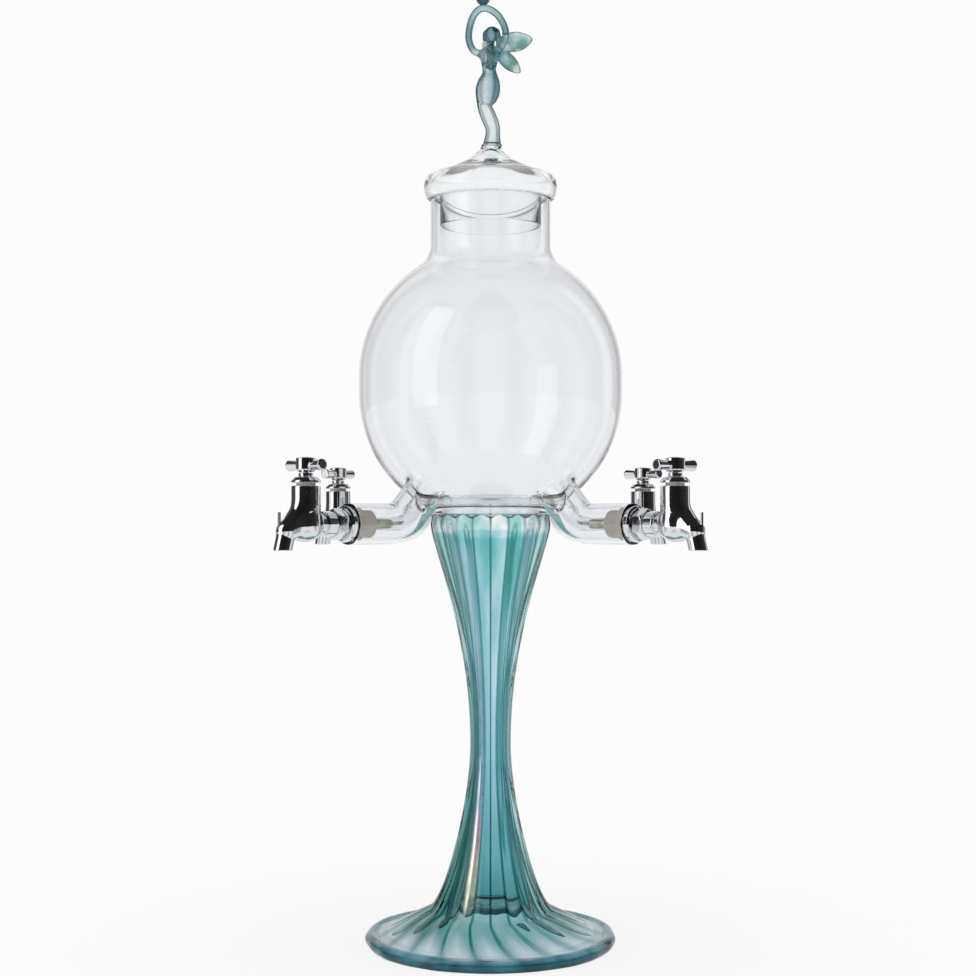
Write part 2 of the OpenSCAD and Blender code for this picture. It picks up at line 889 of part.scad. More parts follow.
module handle_arm() {
    tip_r = handle_tip_d / 2;
    dome = 0.8;
    tip_x = handle_span / 2;
    flare = curve([
        [handle_root_d / 2, 0],
        [handle_root_d / 2, tip_x * 0.6],
        [tip_r, tip_x - dome - 4],
        [tip_r, tip_x - dome]
    ], 8);
    round_end = curve([
        [tip_r, tip_x - dome],
        [tip_r, tip_x - dome * 0.3],
        [tip_r * 0.55, tip_x],
        [0, tip_x]
    ], 6, 1);
    rotate([0, 90, 0])
        rotate_extrude()
            polygon(concat([[0, 0]], flare, round_end));
}

module handle(i) {
    edge = 0.5;
    square_side = drive_side + 2 * fit;
    color("silver")
        at_tap(i, handle_rest[i])
            translate([0, 0, hub_z])
                difference() {
                    union() {
                        rotate_extrude()
                            polygon([
                                [0, 0],
                                [hub_d / 2 - hub_bevel, 0],
                                [hub_d / 2, hub_bevel],
                                [hub_d / 2, hub_h - edge],
                                [hub_d / 2 - edge, hub_h],
                                [0, hub_h]
                            ]);
                        for (k = [0, 1])
                            rotate([0, 0, 180 * k])
                                translate([0, 0, hub_h / 2])
                                    handle_arm();
                    }
                    translate([-square_side / 2, -square_side / 2, -1])
                        cube([square_side, square_side, drive_l + 1 + fit]);
                    cylinder(d = screw_d + 2 * fit, h = hub_h + 1);
                }
}

module handle_screw(i) {
    head = curve([
        [screw_head_d / 2, 0],
        [screw_head_d / 2 - 0.2, screw_head_h * 0.7],
        [screw_head_d / 4, screw_head_h],
        [0, screw_head_h]
    ], 6);
    color("silver")
        at_tap(i, handle_rest[i])
            translate([0, 0, hub_z + hub_h]) {
                rotate_extrude()
                    polygon(concat([[0, 0]], head));
                translate([0, 0, 1.5 - hub_h])
                    cylinder(d = screw_d, h = hub_h - 1.5 + screw_head_h / 2);
            }
}

module jumper(i) {
    socket_z = jumper_z + 1.2;
    color("goldenrod")
        at_tap(i)
            difference() {
                union() {
                    translate([0, 0, washer_z + fit])
                        cylinder(d = washer_pin_d, h = washer_t);
                    translate([0, 0, plate_z])
                        cylinder(d = jumper_plate_d, h = jumper_plate_t);
                    translate([0, 0, plate_z + jumper_plate_t / 2])
                        cylinder(r = jumper_flats / 2 / cos(30), h = jumper_plate_t / 2 + jumper_l, $fn = 6);
                }
                translate([0, 0, socket_z])
                    cylinder(d = tail_d + 2 * fit, h = jumper_l);
            }
}

module valve_washer(i) {
    color("dimgray")
        at_tap(i)
            translate([0, 0, washer_z])
                difference() {
                    cylinder(d = washer_d, h = washer_t);
                    translate([0, 0, -1])
                        cylinder(d = washer_pin_d + 2 * fit, h = washer_t + 2);
                }
}

module lid() {
    side_h = flange_h * 0.47;
    bead_low = curve([
        [lid_r - 2, 0], [lid_r - 0.4, 0.8], [lid_r, side_h / 2], [lid_r, side_h]
    ], 6);
    bead_top = curve([
        [lid_r, side_h], [lid_r, flange_h * 0.75], [lid_r - 1, flange_h * 0.93], [lid_r - 4, flange_h]
    ], 6, 1);
    cone_foot = lid_r - 4;
    cone = curve([
        [cone_foot, flange_h],
        [cone_foot - 10, flange_h + 2.9],
        [cone_top_d / 2 + 4, cone_h - 6.9],
        [cone_top_d / 2, cone_h]
    ], 12, 1);
    cone_in = curve([
        [2, cone_h - cone_cap],
        [5, cone_h - cone_cap - 6],
        [cone_foot - 12, flange_h + 0.4],
        [cone_foot - 1, flange_h - lid_wall]
    ], 12);
    bead_in = curve([
        [cone_foot - 1, flange_h - lid_wall],
        [lid_r - lid_wall, flange_h * 0.7],
        [lid_r - lid_wall, lid_wall + 2],
        [lid_r - lid_wall - 2, lid_wall]
    ], 8, 1);
    ring_in = lid_ring_r - lid_wall;
    color("lightcyan")
        translate([0, 0, lid_z])
            rotate_extrude()
                polygon(concat(
                    [[lid_ring_r, -lid_ring_l], [lid_ring_r, 0]],
                    bead_low, bead_top, cone,
                    [[0, cone_h], [0, cone_h - cone_cap]],
                    cone_in, bead_in,
                    [[ring_in, lid_wall], [ring_in, -lid_ring_l]]
                ));
}

// A value between two rows of the body, on a smooth curve through the rows beside them
function body_row(u) =
    let (
        last = len(BODY) - 1,
        k = min(last - 1, floor(u)),
        f = u - k,
        p0 = BODY[max(0, k - 1)],
        p1 = BODY[k],
        p2 = BODY[k + 1],
        p3 = BODY[min(last, k + 2)]
    )
    0.5 * (2 * p1 + (p2 - p0) * f + (2 * p0 - 5 * p1 + 4 * p2 - p3) * f ^ 2
        + (3 * p1 - p0 - 3 * p2 + p3) * f ^ 3);

function oval_ring(centre, across, up, half_a, half_b, sides) = [
    for (j = [0:sides - 1])
        centre + half_a * cos(360 * j / sides) * across + half_b * sin(360 * j / sides) * up
];

// The body stands on the lid's cone and ends in a plain smooth head with its hair swept back
module figure_body() {
    turn = back_azimuth - 90;
    across = [cos(turn), sin(turn), 0];
    back = [-sin(turn), cos(turn), 0];
    steps = 2 * (len(BODY) - 1);
    color("cadetblue")
        loft([
            for (k = [0:steps])
                let (row = body_row(k / 2))
                oval_ring(
                    [row[1] * body_unit, 0, figure_z + row[0] * figure_h],
                    across, back, row[2] * body_unit, row[3] * body_unit, BODY_SIDES
                )
        ]);
}

// Both raised arms are one rod bent into an oval loop from shoulder to shoulder
function loop_point(a) = [
    loop_x + loop_w / 2 * cos(a),
    0,
    loop_z + loop_h / 2 * sin(a)
];
module figure_arms() {
    start = -60;
    finish = 240;
    steps = 28;
    color("cadetblue")
        loft([
            for (k = [0:steps])
                let (
                    a = start + (finish - start) * k / steps,
                    ahead = loop_point(a + 1) - loop_point(a - 1),
                    along = ahead / norm(ahead)
                )
                oval_ring(loop_point(a), cross([0, 1, 0], along), [0, 1, 0], rod_r, rod_r, 10)
        ]);
}

// A leaf-shaped wing that grows out of the back, from a slim root to a pointed tip
module wing(length, width, rise) {
    steps = 9;
    rotate([0, -rise, 0])
        loft([
            for (k = [0:steps])
                let (
                    u = k / steps,
                    leaf = sin(180 * u ^ 0.85),
                    half_w = wing_root_w / 2 + (width - wing_root_w) / 2 * max(0, leaf),
                    half_t = wing_root_t / 2 + (wing_t - wing_root_t) / 2 * max(0, leaf)
                )
                oval_ring([wing_root_r + u * (length - wing_root_r), 0, 0], [0, 1, 0], [0, 0, 1], half_t, half_w, 12)
        ]);
}

module figure_wings() {
    color("cadetblue")
        for (side = [-1, 1])
            translate([body_row(12)[1] * body_unit, 0, shoulder_z])
                rotate([0, 0, back_azimuth + side * wing_spread]) {
                    translate([0, 0, upper_wing_lift])
                        wing(upper_wing_l, upper_wing_w, wing_rise);
                    translate([0, 0, upper_wing_lift - wing_step])
                        wing(lower_wing_l, lower_wing_w, -wing_droop);
                }
}

module figure_bead() {
    bead_cos = (bead_x - loop_x) / (loop_w / 2);
    rod_top = loop_z + loop_h / 2 * sqrt(1 - bead_cos ^ 2) + rod_r;
    color("darkslategray")
        translate([bead_x, 0, rod_top + bead_d / 2 - bead_sink])
            sphere(d = bead_d);
}

foot_rim();
pedestal();
collar();
globe();
flange_washers();
lock_nuts();
bonnet_seals();
gland_rings();
lid();
figure_body();
figure_arms();
figure_wings();
figure_bead();
for (i = [0:3]) {
    glass_arm(i);
    stopper(i);
    shank(i);
    tap_body(i);
    bonnet(i);
    spindle(i);
    handle(i);
    handle_screw(i);
    jumper(i);
    valve_washer(i);
}
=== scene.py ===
import math
import bpy
import numpy as np
from mathutils import Matrix, Vector


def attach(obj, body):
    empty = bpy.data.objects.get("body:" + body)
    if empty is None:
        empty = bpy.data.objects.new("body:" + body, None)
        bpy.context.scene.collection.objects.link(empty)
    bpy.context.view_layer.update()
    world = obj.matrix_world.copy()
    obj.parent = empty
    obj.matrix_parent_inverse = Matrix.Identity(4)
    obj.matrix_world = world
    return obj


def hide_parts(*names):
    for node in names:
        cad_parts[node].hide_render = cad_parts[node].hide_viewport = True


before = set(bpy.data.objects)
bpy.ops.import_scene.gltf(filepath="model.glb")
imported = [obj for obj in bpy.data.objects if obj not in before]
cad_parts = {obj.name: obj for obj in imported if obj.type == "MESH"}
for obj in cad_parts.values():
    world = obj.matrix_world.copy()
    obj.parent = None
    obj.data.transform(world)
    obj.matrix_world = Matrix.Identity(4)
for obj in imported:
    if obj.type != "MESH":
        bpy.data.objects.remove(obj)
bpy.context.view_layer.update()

# Sizes in millimetres and angles in degrees, as the construction has them: _R is a radius, _Z a height and
# _T a thickness. TAPS says where each arm points from +X, and HANDLE_REST how far each handle is turned from
# its arm at rest. The globe is two half balls, round LOW_Z and TOP_Z, with a straight band between them
TAPS = {"front_left": 225, "front_right": 315, "rear_left": 135, "rear_right": 45}
HANDLE_REST = {"front_left": 91, "front_right": 83, "rear_left": 101, "rear_right": 90}
STEM_H = 245.6
FLUTES, SWIRL, SWIRL_FROM = 20, 12, 36.0
RIM_R, RIM_Z, RIM_BEAD, SEAT_R = 67.4, 3.3, 3.9, 65.2
COLLAR_R, COLLAR_Z, COLLAR_HALF = 34.0, 248.6, 3.0
FLOOR_R, FLOOR_Z, RECESS_R, RECESS_Z = 35.4, 254.7, 30.5, 252.2
GLOBE_R, GLOBE_WALL, LOW_Z, TOP_Z = 75.0, 2.2, 313.553, 323.253
NECK_R, NECK_WALL, NECK_Z, FILLET = 34.3, 2.0, 424.653, 16.0
ARM_Z, ARM_R, ARM_BORE, ARM_BEND = 239.5, 11.0, 9.0, 18.0
ARM_REACH, TAP_R = 107.5, 135.0
FLANGE_T, NUT_T, NUT_R, SHANK_GRIP = 3.5, 7.0, 8.4, 8.0
SHANK_R, SHANK_BORE, ON_SHANK_BORE = 2.6, 1.7, 2.65
SPOUT_R, BARREL_R, INLET_R = 4.9, 7.75, 5.7
HUB_Z, HUB_R, HUB_HALF, BAR_HALF = 26.8, 5.3, 3.8, 13.5
LID_Z = 424.753
FIGURE_Z = 454.653
MM = 0.001


def cell(fine):
    """The size of the cells that a shape is skinned with"""
    return fine


# Shapes, as distances from a surface: negative inside, and p is the X, Y and Z of the points
def smin(a, b, k):
    """Joins two shapes, softly where their distances differ by less than k"""
    h = np.clip(0.5 + 0.5 * (b - a) / k, 0, 1)
    return b * (1 - h) + a * h - k * h * (1 - h)


def smax(a, b, k):
    """What two shapes share, with a soft edge"""
    return -smin(-a, -b, k)


def ball(p, c, r):
    return np.sqrt((p[0] - c[0]) ** 2 + (p[1] - c[1]) ** 2 + (p[2] - c[2]) ** 2) - r


def oval(p, c, r):
    """A ball with another radius along each axis"""
    q = [(p[i] - c[i]) / r[i] for i in range(3)]
    k0 = np.sqrt(q[0] ** 2 + q[1] ** 2 + q[2] ** 2) + 1e-9
    k1 = np.sqrt(sum((q[i] / r[i]) ** 2 for i in range(3))) + 1e-9
    return k0 * (k0 - 1) / k1


def limb(p, a, b, ra, rb):
    """A round bar with round ends, from radius ra at a to rb at b"""
    ax = [b[i] - a[i] for i in range(3)]
    d2 = sum(v * v for v in ax)
    t = np.clip(sum((p[i] - a[i]) * ax[i] for i in range(3)) / d2, 0, 1)
    d = np.sqrt(sum((p[i] - a[i] - t * ax[i]) ** 2 for i in range(3)))
    return d - (ra + t * (rb - ra))


def rod(p, a, b, r, k=0.3):
    """A round bar with flat ends"""
    ax = np.array(b, float) - np.array(a, float)
    length = math.sqrt(float(ax @ ax))
    ax /= length
    t = sum((p[i] - a[i]) * ax[i] for i in range(3))
    d = np.sqrt(np.maximum(sum((p[i] - a[i] - t * ax[i]) ** 2 for i in range(3)), 0))
    return smax(d - r, np.abs(t - length / 2) - length / 2, k)


def block(p, c, half, k):
    """A box with soft edges, round its centre"""
    q = [np.abs(p[i] - c[i]) - half[i] for i in range(3)]
    return smax(smax(q[0], q[1], k), q[2], k)


def skin(shape, lo, hi, step, polish=4):
    """Points, quads and normals on the surface where shape(p) is 0"""
    lo, hi = np.array(lo, float), np.array(hi, float)
    n = np.ceil((hi - lo) / step).astype(int) + 1
    ax = [lo[i] + step * np.arange(n[i]) for i in range(3)]
    field = np.empty(n, np.float32)
    slab = 12
    for i in range(0, n[0], slab):
        p = np.meshgrid(ax[0][i:i + slab], ax[1], ax[2], indexing="ij")
        field[i:i + slab] = shape(p)
    inside = field < 0
    # one point in each cell that the surface crosses, midway between its crossings of the cell's edges
    corners = [(i, j, k) for i in (0, 1) for j in (0, 1) for k in (0, 1)]
    count = np.zeros(n - 1, np.int8)
    for i, j, k in corners:
        count += inside[i:n[0] - 1 + i, j:n[1] - 1 + j, k:n[2] - 1 + k]
    cells = np.argwhere((count > 0) & (count < 8))
    index = -np.ones(n - 1, np.int64)
    index[tuple(cells.T)] = np.arange(len(cells))
    total = np.zeros((len(cells), 3))
    hits = np.zeros(len(cells))
    value = {c: field[cells[:, 0] + c[0], cells[:, 1] + c[1], cells[:, 2] + c[2]] for c in corners}
    for a in corners:
        for axis in range(3):
            if a[axis]:
                continue
            b = tuple(a[i] + (i == axis) for i in range(3))
            va, vb = value[a], value[b]
            cross = (va < 0) != (vb < 0)
            t = np.where(cross, va / np.where(cross, va - vb, 1), 0)
            q = np.tile(np.array(a, float), (len(cells), 1))
            q[:, axis] += t
            total += q * cross[:, None]
            hits += cross
    points = lo + step * (cells + total / hits[:, None])
    # one quad across each edge of the grid that the surface crosses
    quads = []
    for axis in range(3):
        u, v = (axis + 1) % 3, (axis + 2) % 3
        low, high = [slice(None)] * 3, [slice(None)] * 3
        low[axis], high[axis] = slice(0, n[axis] - 1), slice(1, n[axis])
        one, two = inside[tuple(low)], inside[tuple(high)]
        edge = np.argwhere(one != two)
        keep = (edge[:, u] > 0) & (edge[:, v] > 0) & (edge[:, u] < n[u] - 1) & (edge[:, v] < n[v] - 1)
        edge = edge[keep]
        out = one[tuple(edge.T)]

        def at(du, dv):
            e = edge.copy()
            e[:, u] += du
            e[:, v] += dv
            return index[tuple(e.T)]

        q = np.stack([at(-1, -1), at(0, -1), at(0, 0), at(-1, 0)], 1)
        quads.append(np.where(out[:, None], q, q[:, ::-1]))
    nudge = 0.02

    def slope(x):
        g = np.empty_like(x)
        for i in range(3):
            up, down = [x[:, k].copy() for k in range(3)], [x[:, k].copy() for k in range(3)]
            up[i] += nudge
            down[i] -= nudge
            g[:, i] = (shape(up) - shape(down)) / (2 * nudge)
        return g

    # then the points move on to the surface
    for _ in range(polish):
        g = slope(points)
        d = shape([points[:, k] for k in range(3)])
        move = -d / np.maximum((g * g).sum(1), 0.3)
        points = points + np.clip(move, -step, step)[:, None] * g
    g = slope(points)
    return points, np.concatenate(quads), g / np.maximum(np.linalg.norm(g, axis=1), 1e-6)[:, None]


def mesh(name, points, faces, normals=None, place=None):
    """A smooth mesh object from millimetre points and an array of quads"""
    me = bpy.data.meshes.new(name)
    points = np.asarray(points, float)
    if place is not None:
        m = np.array(place)
        points = points @ m[:3, :3].T + m[:3, 3]
        if normals is not None:
            normals = normals @ m[:3, :3].T
    n, w = len(faces), len(faces[0])
    me.vertices.add(len(points))
    me.vertices.foreach_set("co", (points * MM).astype(np.float32).ravel())
    me.loops.add(n * w)
    me.loops.foreach_set("vertex_index", np.asarray(faces, np.int32).ravel())
    me.polygons.add(n)
    me.polygons.foreach_set("loop_start", np.arange(0, n * w, w, dtype=np.int32))
    me.polygons.foreach_set("use_smooth", np.ones(n, bool))
    me.update(calc_edges=True)
    me.validate()
    if normals is not None:
        me.normals_split_custom_set_from_vertices(normals.tolist())
    o = bpy.data.objects.new(name, me)
    bpy.context.scene.collection.objects.link(o)
    return o


NEARLY_STRAIGHT = 1.55


def rounded(corners, steps=6):
    """Turns (r, z, radius) corners into a line with round corners, each held by a point beside it"""
    out = []
    n = len(corners)
    for i, (x, z, r) in enumerate(corners):
        p = np.array([x, z], float)
        a, b = corners[i - 1], corners[(i + 1) % n]
        if r <= 0 or i in (0, n - 1):
            out.append(p)
            continue
        u, v = np.array(a[:2], float) - p, np.array(b[:2], float) - p
        lu, lv = np.linalg.norm(u), np.linalg.norm(v)
        u, v = u / lu, v / lv
        half = math.acos(max(-1, min(1, float(u @ v)))) / 2
        if half > NEARLY_STRAIGHT:
            out.append(p)
            continue
        run = min(r / math.tan(half), 0.45 * lu, 0.45 * lv)
        r = run * math.tan(half)
        centre = p + (u + v) / np.linalg.norm(u + v) * r / math.sin(half)
        first, last = p + u * run - centre, p + v * run - centre
        sweep = math.pi - 2 * half
        turn = math.copysign(1, first[0] * last[1] - first[1] * last[0])
        hold = min(0.12, 0.3 * (lu - run), 0.3 * (lv - run))
        out.append(p + u * (run + hold))
        for k in range(steps + 1):
            t = turn * sweep * k / steps
            c, s = math.cos(t), math.sin(t)
            out.append(centre + np.array([c * first[0] - s * first[1], s * first[0] + c * first[1]]))
        out.append(p + v * (run + hold))
    return out


def ring_quads(rows, sides, closed):
    """Quads between one ring of points and the next, and from the last back to the first"""
    i = np.arange(rows if closed else rows - 1)[:, None]
    j = np.arange(sides)[None, :]
    k, m = (i + 1) % rows, (j + 1) % sides
    return np.stack([i * sides + j, i * sides + m, k * sides + m, k * sides + j], -1).reshape(-1, 4)


def lathe(name, line, sides, closed=False, place=None):
    """Turns a line of (r, z) round the Z axis, or along whatever place says"""
    line = [np.array([max(float(p[0]), 0.003), float(p[1])]) for p in line]
    a = np.arange(sides) * 2 * math.pi / sides
    rings = [np.stack([p[0] * np.cos(a), p[0] * np.sin(a), np.full(sides, p[1])], 1) for p in line]
    return mesh(name, np.concatenate(rings), ring_quads(len(line), sides, closed), place=place)


def bezier(p, steps, first=0):
    """Points on a curve from p[0] to p[3]. A first of 1 leaves out the point it starts from"""
    a, b, c, d = [np.array(q, float) for q in p]
    out = []
    for i in range(first, steps + 1):
        t = i / steps
        s = 1 - t
        out.append(s ** 3 * a + 3 * t * s ** 2 * b + 3 * t * t * s * c + t ** 3 * d)
    return out


def turn_z(deg):
    return Matrix.Rotation(math.radians(deg), 4, "Z")


def at_tap(tap, turn=0):
    """From a tap's own axes to the object's"""
    return turn_z(TAPS[tap]) @ Matrix.Translation((TAP_R, 0, ARM_Z)) @ turn_z(turn)


def along_arm(tap, distance):
    """Stands a turned piece on an arm's centre line, with its Z pointing outwards"""
    level = Matrix.Rotation(math.pi / 2, 4, "Y")
    return turn_z(TAPS[tap]) @ Matrix.Translation((distance, 0, ARM_Z)) @ level


# Materials, whose bumps are this deep, in metres
RIPPLE, GRAIN = 0.0006, 0.0002


def material(name, color, **sockets):
    """A material, its node tree and its shader, with the shader's other sockets by name"""
    mat = bpy.data.materials.new(name)
    mat.use_nodes = True
    tree = mat.node_tree
    bsdf = tree.nodes["Principled BSDF"]
    bsdf.inputs["Base Color"].default_value = (*color, 1)
    for key, value in sockets.items():
        bsdf.inputs[key.replace("_", " ")].default_value = value
    return mat, tree, bsdf


def glass(name, color, ior):
    return material(name, color, Roughness=0.0, IOR=ior, Transmission_Weight=1.0)


def add(tree, kind, **values):
    """A node with its sockets or its settings by name"""
    node = tree.nodes.new(kind)
    for key, value in values.items():
        if key in node.inputs:
            node.inputs[key].default_value = value
        else:
            setattr(node, key, value)
    return node


def noise(tree, scale, detail=2.0, rough=0.5, stretch=(1, 1, 1)):
    """Soft noise fixed to the object. A last stretch below 1 draws it out upwards"""
    coord = add(tree, "ShaderNodeTexCoord")
    mapping = add(tree, "ShaderNodeMapping", Scale=stretch)
    node = add(tree, "ShaderNodeTexNoise", Scale=scale, Detail=detail, Roughness=rough)
    tree.links.new(coord.outputs["Object"], mapping.inputs["Vector"])
    tree.links.new(mapping.outputs["Vector"], node.inputs["Vector"])
    return node.outputs["Fac"]


def ramp(tree, source, stops):
    """Colours, or plain values, between stops of (position, colour or value)"""
    node = add(tree, "ShaderNodeValToRGB")
    elements = node.color_ramp.elements
    while len(elements) < len(stops):
        elements.new(0.5)
    for element, (position, value) in zip(elements, stops):
        element.position = position
        element.color = (value, value, value, 1) if isinstance(value, (int, float)) else (*value, 1)
    tree.links.new(source, node.inputs["Fac"])
    return node.outputs["Color"]


def node_math(tree):
    """A function that adds a Math node and returns what it puts out"""
    def go(op, a, b=None):
        node = add(tree, "ShaderNodeMath", operation=op)
        for k, v in enumerate((a, b)):
            if isinstance(v, (int, float)):
                node.inputs[k].default_value = v
            elif v is not None:
                tree.links.new(v, node.inputs[k])
        return node.outputs[0]
    return go


def node_mix(tree, fac, a, b, blend="MIX", clamp=False):
    """Goes from a to b by fac, each of them a number or what another node puts out"""
    node = add(tree, "ShaderNodeMix", data_type="RGBA", blend_type=blend, clamp_result=clamp)
    factor, first, second = 0, 6, 7
    for k, v in ((factor, fac), (first, a), (second, b)):
        if isinstance(v, (int, float)):
            node.inputs[k].default_value = v if k == factor else (v, v, v, 1)
        else:
            tree.links.new(v, node.inputs[k])
    return node.outputs[2]


def bump(tree, bsdf, source, strength, distance):
    node = add(tree, "ShaderNodeBump", Strength=strength, Distance=distance)
    tree.links.new(source, node.inputs["Height"])
    tree.links.new(node.outputs["Normal"], bsdf.inputs["Normal"])


def place_on(tree):
    """Where a point lies on the object, in metres: X, Y and Z"""
    coord = add(tree, "ShaderNodeTexCoord")
    split = add(tree, "ShaderNodeSeparateXYZ")
    tree.links.new(coord.outputs["Object"], split.inputs["Vector"])
    return [split.outputs[k] for k in "XYZ"]


def from_axis(go, x, y):
    """How far a point lies from the object's upright axis, in metres"""
    return go("SQRT", go("ADD", go("MULTIPLY", x, x), go("MULTIPLY", y, y)))


def clear_glass(name, color, ior):
    mat, tree, b = glass(name, color, ior)
    bump(tree, b, noise(tree, 28, 1.0), 0.04, RIPPLE)
    return mat


def teal_glass():
    """Teal above the foot, clear under the globe and on the foot, with painted shade along the grooves and a
    painted highlight on the ribs to the left
    """
    mat, tree, b = glass("teal_ribbed_glass", (0.5, 0.8, 0.8), 1.36)
    go = node_math(tree)
    x, y, z = place_on(tree)
    radius = from_axis(go, x, y)
    turn = go("DIVIDE", go("ARCTAN2", y, x), 2 * math.pi)
    # groove runs from 0 on a rib to 1 in the groove beside it
    on_foot = go("MAXIMUM", go("SUBTRACT", radius, SWIRL_FROM * MM), 0.0)
    swirl = go("MULTIPLY", on_foot, SWIRL / 360 / ((SEAT_R - SWIRL_FROM) * MM))
    phase = go("FRACT", go("MULTIPLY", go("SUBTRACT", turn, swirl), float(FLUTES)))
    groove = go("MULTIPLY", go("ABSOLUTE", go("SUBTRACT", phase, 0.5)), 2.0)
    # height runs from 0 on the table to 1 under the globe, a few millimetres up or down
    full, spread = 0.246, 0.014
    uneven = go("MULTIPLY", go("SUBTRACT", noise(tree, 22, 2.0), 0.5), spread)
    height = go("DIVIDE", go("ADD", z, uneven), full)
    light = ramp(tree, height, [
        (0.03, (0.22, 0.46, 0.48)),
        (0.10, (0.26, 0.52, 0.55)),
        (0.20, (0.40, 0.65, 0.70)),
        (0.45, (0.52, 0.75, 0.84)),
        (0.70, (0.60, 0.79, 0.85)),
        (0.90, (0.58, 0.80, 0.82)),
        (0.948, (0.54, 0.79, 0.83)),
        (0.956, (0.95, 0.965, 0.975)),
    ])
    dark = ramp(tree, height, [
        (0.03, (0.01, 0.15, 0.13)),
        (0.20, (0.015, 0.20, 0.16)),
        (0.45, (0.03, 0.24, 0.23)),
        (0.948, (0.04, 0.28, 0.26)),
        (0.956, (0.40, 0.47, 0.50)),
    ])
    tones = ramp(tree, noise(tree, 105, 1.0, 0.5, (1, 1, 0.05)), [
        (0.36, (0.46, 0.80, 0.74)),
        (0.45, (0.80, 0.92, 0.94)),
        (0.54, (1, 1, 1)),
        (0.64, (1.28, 1.12, 1.08)),
    ])
    streaked = ramp(tree, height, [(0.0, 0.25), (0.3, 0.35), (0.6, 1.0), (1.0, 1.0)])
    tones = node_mix(tree, streaked, 1.0, tones)
    coloured = node_mix(tree, 1.0, light, tones, "MULTIPLY", True)
    # dark where the wall is seen from the side, and painted shade in the grooves
    facing = add(tree, "ShaderNodeLayerWeight", Blend=0.5).outputs["Facing"]
    edge = ramp(tree, facing, [(0.0, 0.0), (0.2, 0.03), (0.5, 0.35), (0.8, 0.9)])
    # painted shade: a dark line along each groove
    half_rib = go("MULTIPLY", radius, math.pi / FLUTES)
    beside = go("MULTIPLY", go("SUBTRACT", 1.0, groove), half_rib)
    width = go("ADD", go("MULTIPLY", radius, 0.02), 0.0005)
    line = ramp(tree, go("DIVIDE", beside, width), [(0.0, 1.0), (0.4, 0.9), (0.8, 0.2), (1.0, 0.0)])
    tint = node_mix(tree, go("MAXIMUM", edge, line), coloured, dark)
    # one side, low down, is darker green
    side = go("ABSOLUTE", go("ADD", turn, 0.43))
    deep = ramp(tree, go("MULTIPLY", side, 5.0), [(0.0, 1.0), (0.25, 1.0), (0.5, 0.0)])
    low = ramp(tree, height, [(0.0, 1.0), (0.35, 1.0), (0.6, 0.35), (1.0, 0.35)])
    tint = node_mix(tree, go("MULTIPLY", go("MULTIPLY", deep, low), 0.75), tint, dark)
    # the teal runs out on to the foot in tongues along the grooves
    reach = go("DIVIDE", go("ADD", radius, go("MULTIPLY", groove, -0.008)), 0.07)
    foot = ramp(tree, reach, [(0.0, 0.0), (0.60, 0.0), (0.82, 1.0), (1.0, 1.0)])
    clear = ramp(tree, groove, [
        (0.0, (0.62, 0.71, 0.78)), (0.6, (0.50, 0.62, 0.68)), (1.0, (0.18, 0.36, 0.40))])
    tint = node_mix(tree, foot, tint, clear)
    # the rolled rim is dark, but for the top of its bead
    bead = ramp(tree, noise(tree, 60, 2.0), [(0.38, (0.006, 0.06, 0.08)), (0.62, (0.035, 0.18, 0.23))])
    under = ramp(tree, go("DIVIDE", z, 0.008), [(0.0, 1.0), (0.56, 1.0), (0.74, 0.0)])
    rim = ramp(tree, go("DIVIDE", radius, 0.072), [(0.0, 0.0), (0.870, 0.0), (0.895, 1.0), (1.0, 1.0)])
    tint = node_mix(tree, go("MULTIPLY", rim, under), tint, bead)
    # painted highlight: the streak of the left lamp on the ribs to the left, before and behind, in the pinks
    # and golds of a lustre film, metallic only before
    place = go("ABSOLUTE", go("SUBTRACT", go("ABSOLUTE", turn), 0.325))
    highlight_patch = ramp(tree, go("MULTIPLY", place, 20.0), [(0.0, 1.0), (0.3, 1.0), (0.5, 0.0)])
    highlight_by_height = ramp(tree, height, [
        (0.0, 0.0), (0.07, 0.0), (0.12, 1.0), (0.3, 0.9), (0.6, 0.35), (0.9, 0.2), (0.96, 0.0)])
    cloud = ramp(tree, noise(tree, 160, 3.0, 0.6, (1, 1, 0.25)), [(0.3, 0.45), (0.6, 1.0)])
    painted_lustre_highlight = go("MULTIPLY", go("MULTIPLY", highlight_patch, highlight_by_height), cloud)
    highlight_colours = ramp(tree, height, [
        (0.09, (1.0, 0.90, 0.70)),
        (0.17, (1.0, 0.84, 0.76)),
        (0.25, (0.98, 0.76, 0.86)),
        (0.42, (0.84, 0.78, 0.98)),
    ])
    # the painted highlight's colours go into the tint
    tint = node_mix(tree, painted_lustre_highlight, tint, highlight_colours)
    tree.links.new(tint, b.inputs["Base Color"])
    # the painted highlight is metallic in front
    highlight_in_front = go("MULTIPLY", painted_lustre_highlight, go("LESS_THAN", turn, 0.0))
    tree.links.new(go("MULTIPLY", highlight_in_front, 0.65), b.inputs["Metallic"])
    # the underside is a little matt from the bench
    inside_rim = go("MULTIPLY", go("LESS_THAN", z, 0.0056), go("LESS_THAN", radius, 0.0665))
    matt = go("MAXIMUM", go("LESS_THAN", z, 0.0006), inside_rim)
    rough = go("MAXIMUM", go("MULTIPLY", highlight_in_front, 0.20), go("MULTIPLY", matt, 0.35))
    tree.links.new(rough, b.inputs["Roughness"])
    bump(tree, b, noise(tree, 40, 1.0, 0.5, (1, 1, 0.3)), 0.05, RIPPLE)
    return mat


def bead_glass(name, light, dark):
    """Dark glass with cloudy patches"""
    mat, tree, b = glass(name, light, 1.42)
    tree.links.new(ramp(tree, noise(tree, 70, 2.0), [(0.35, dark), (0.6, light)]), b.inputs["Base Color"])
    return mat


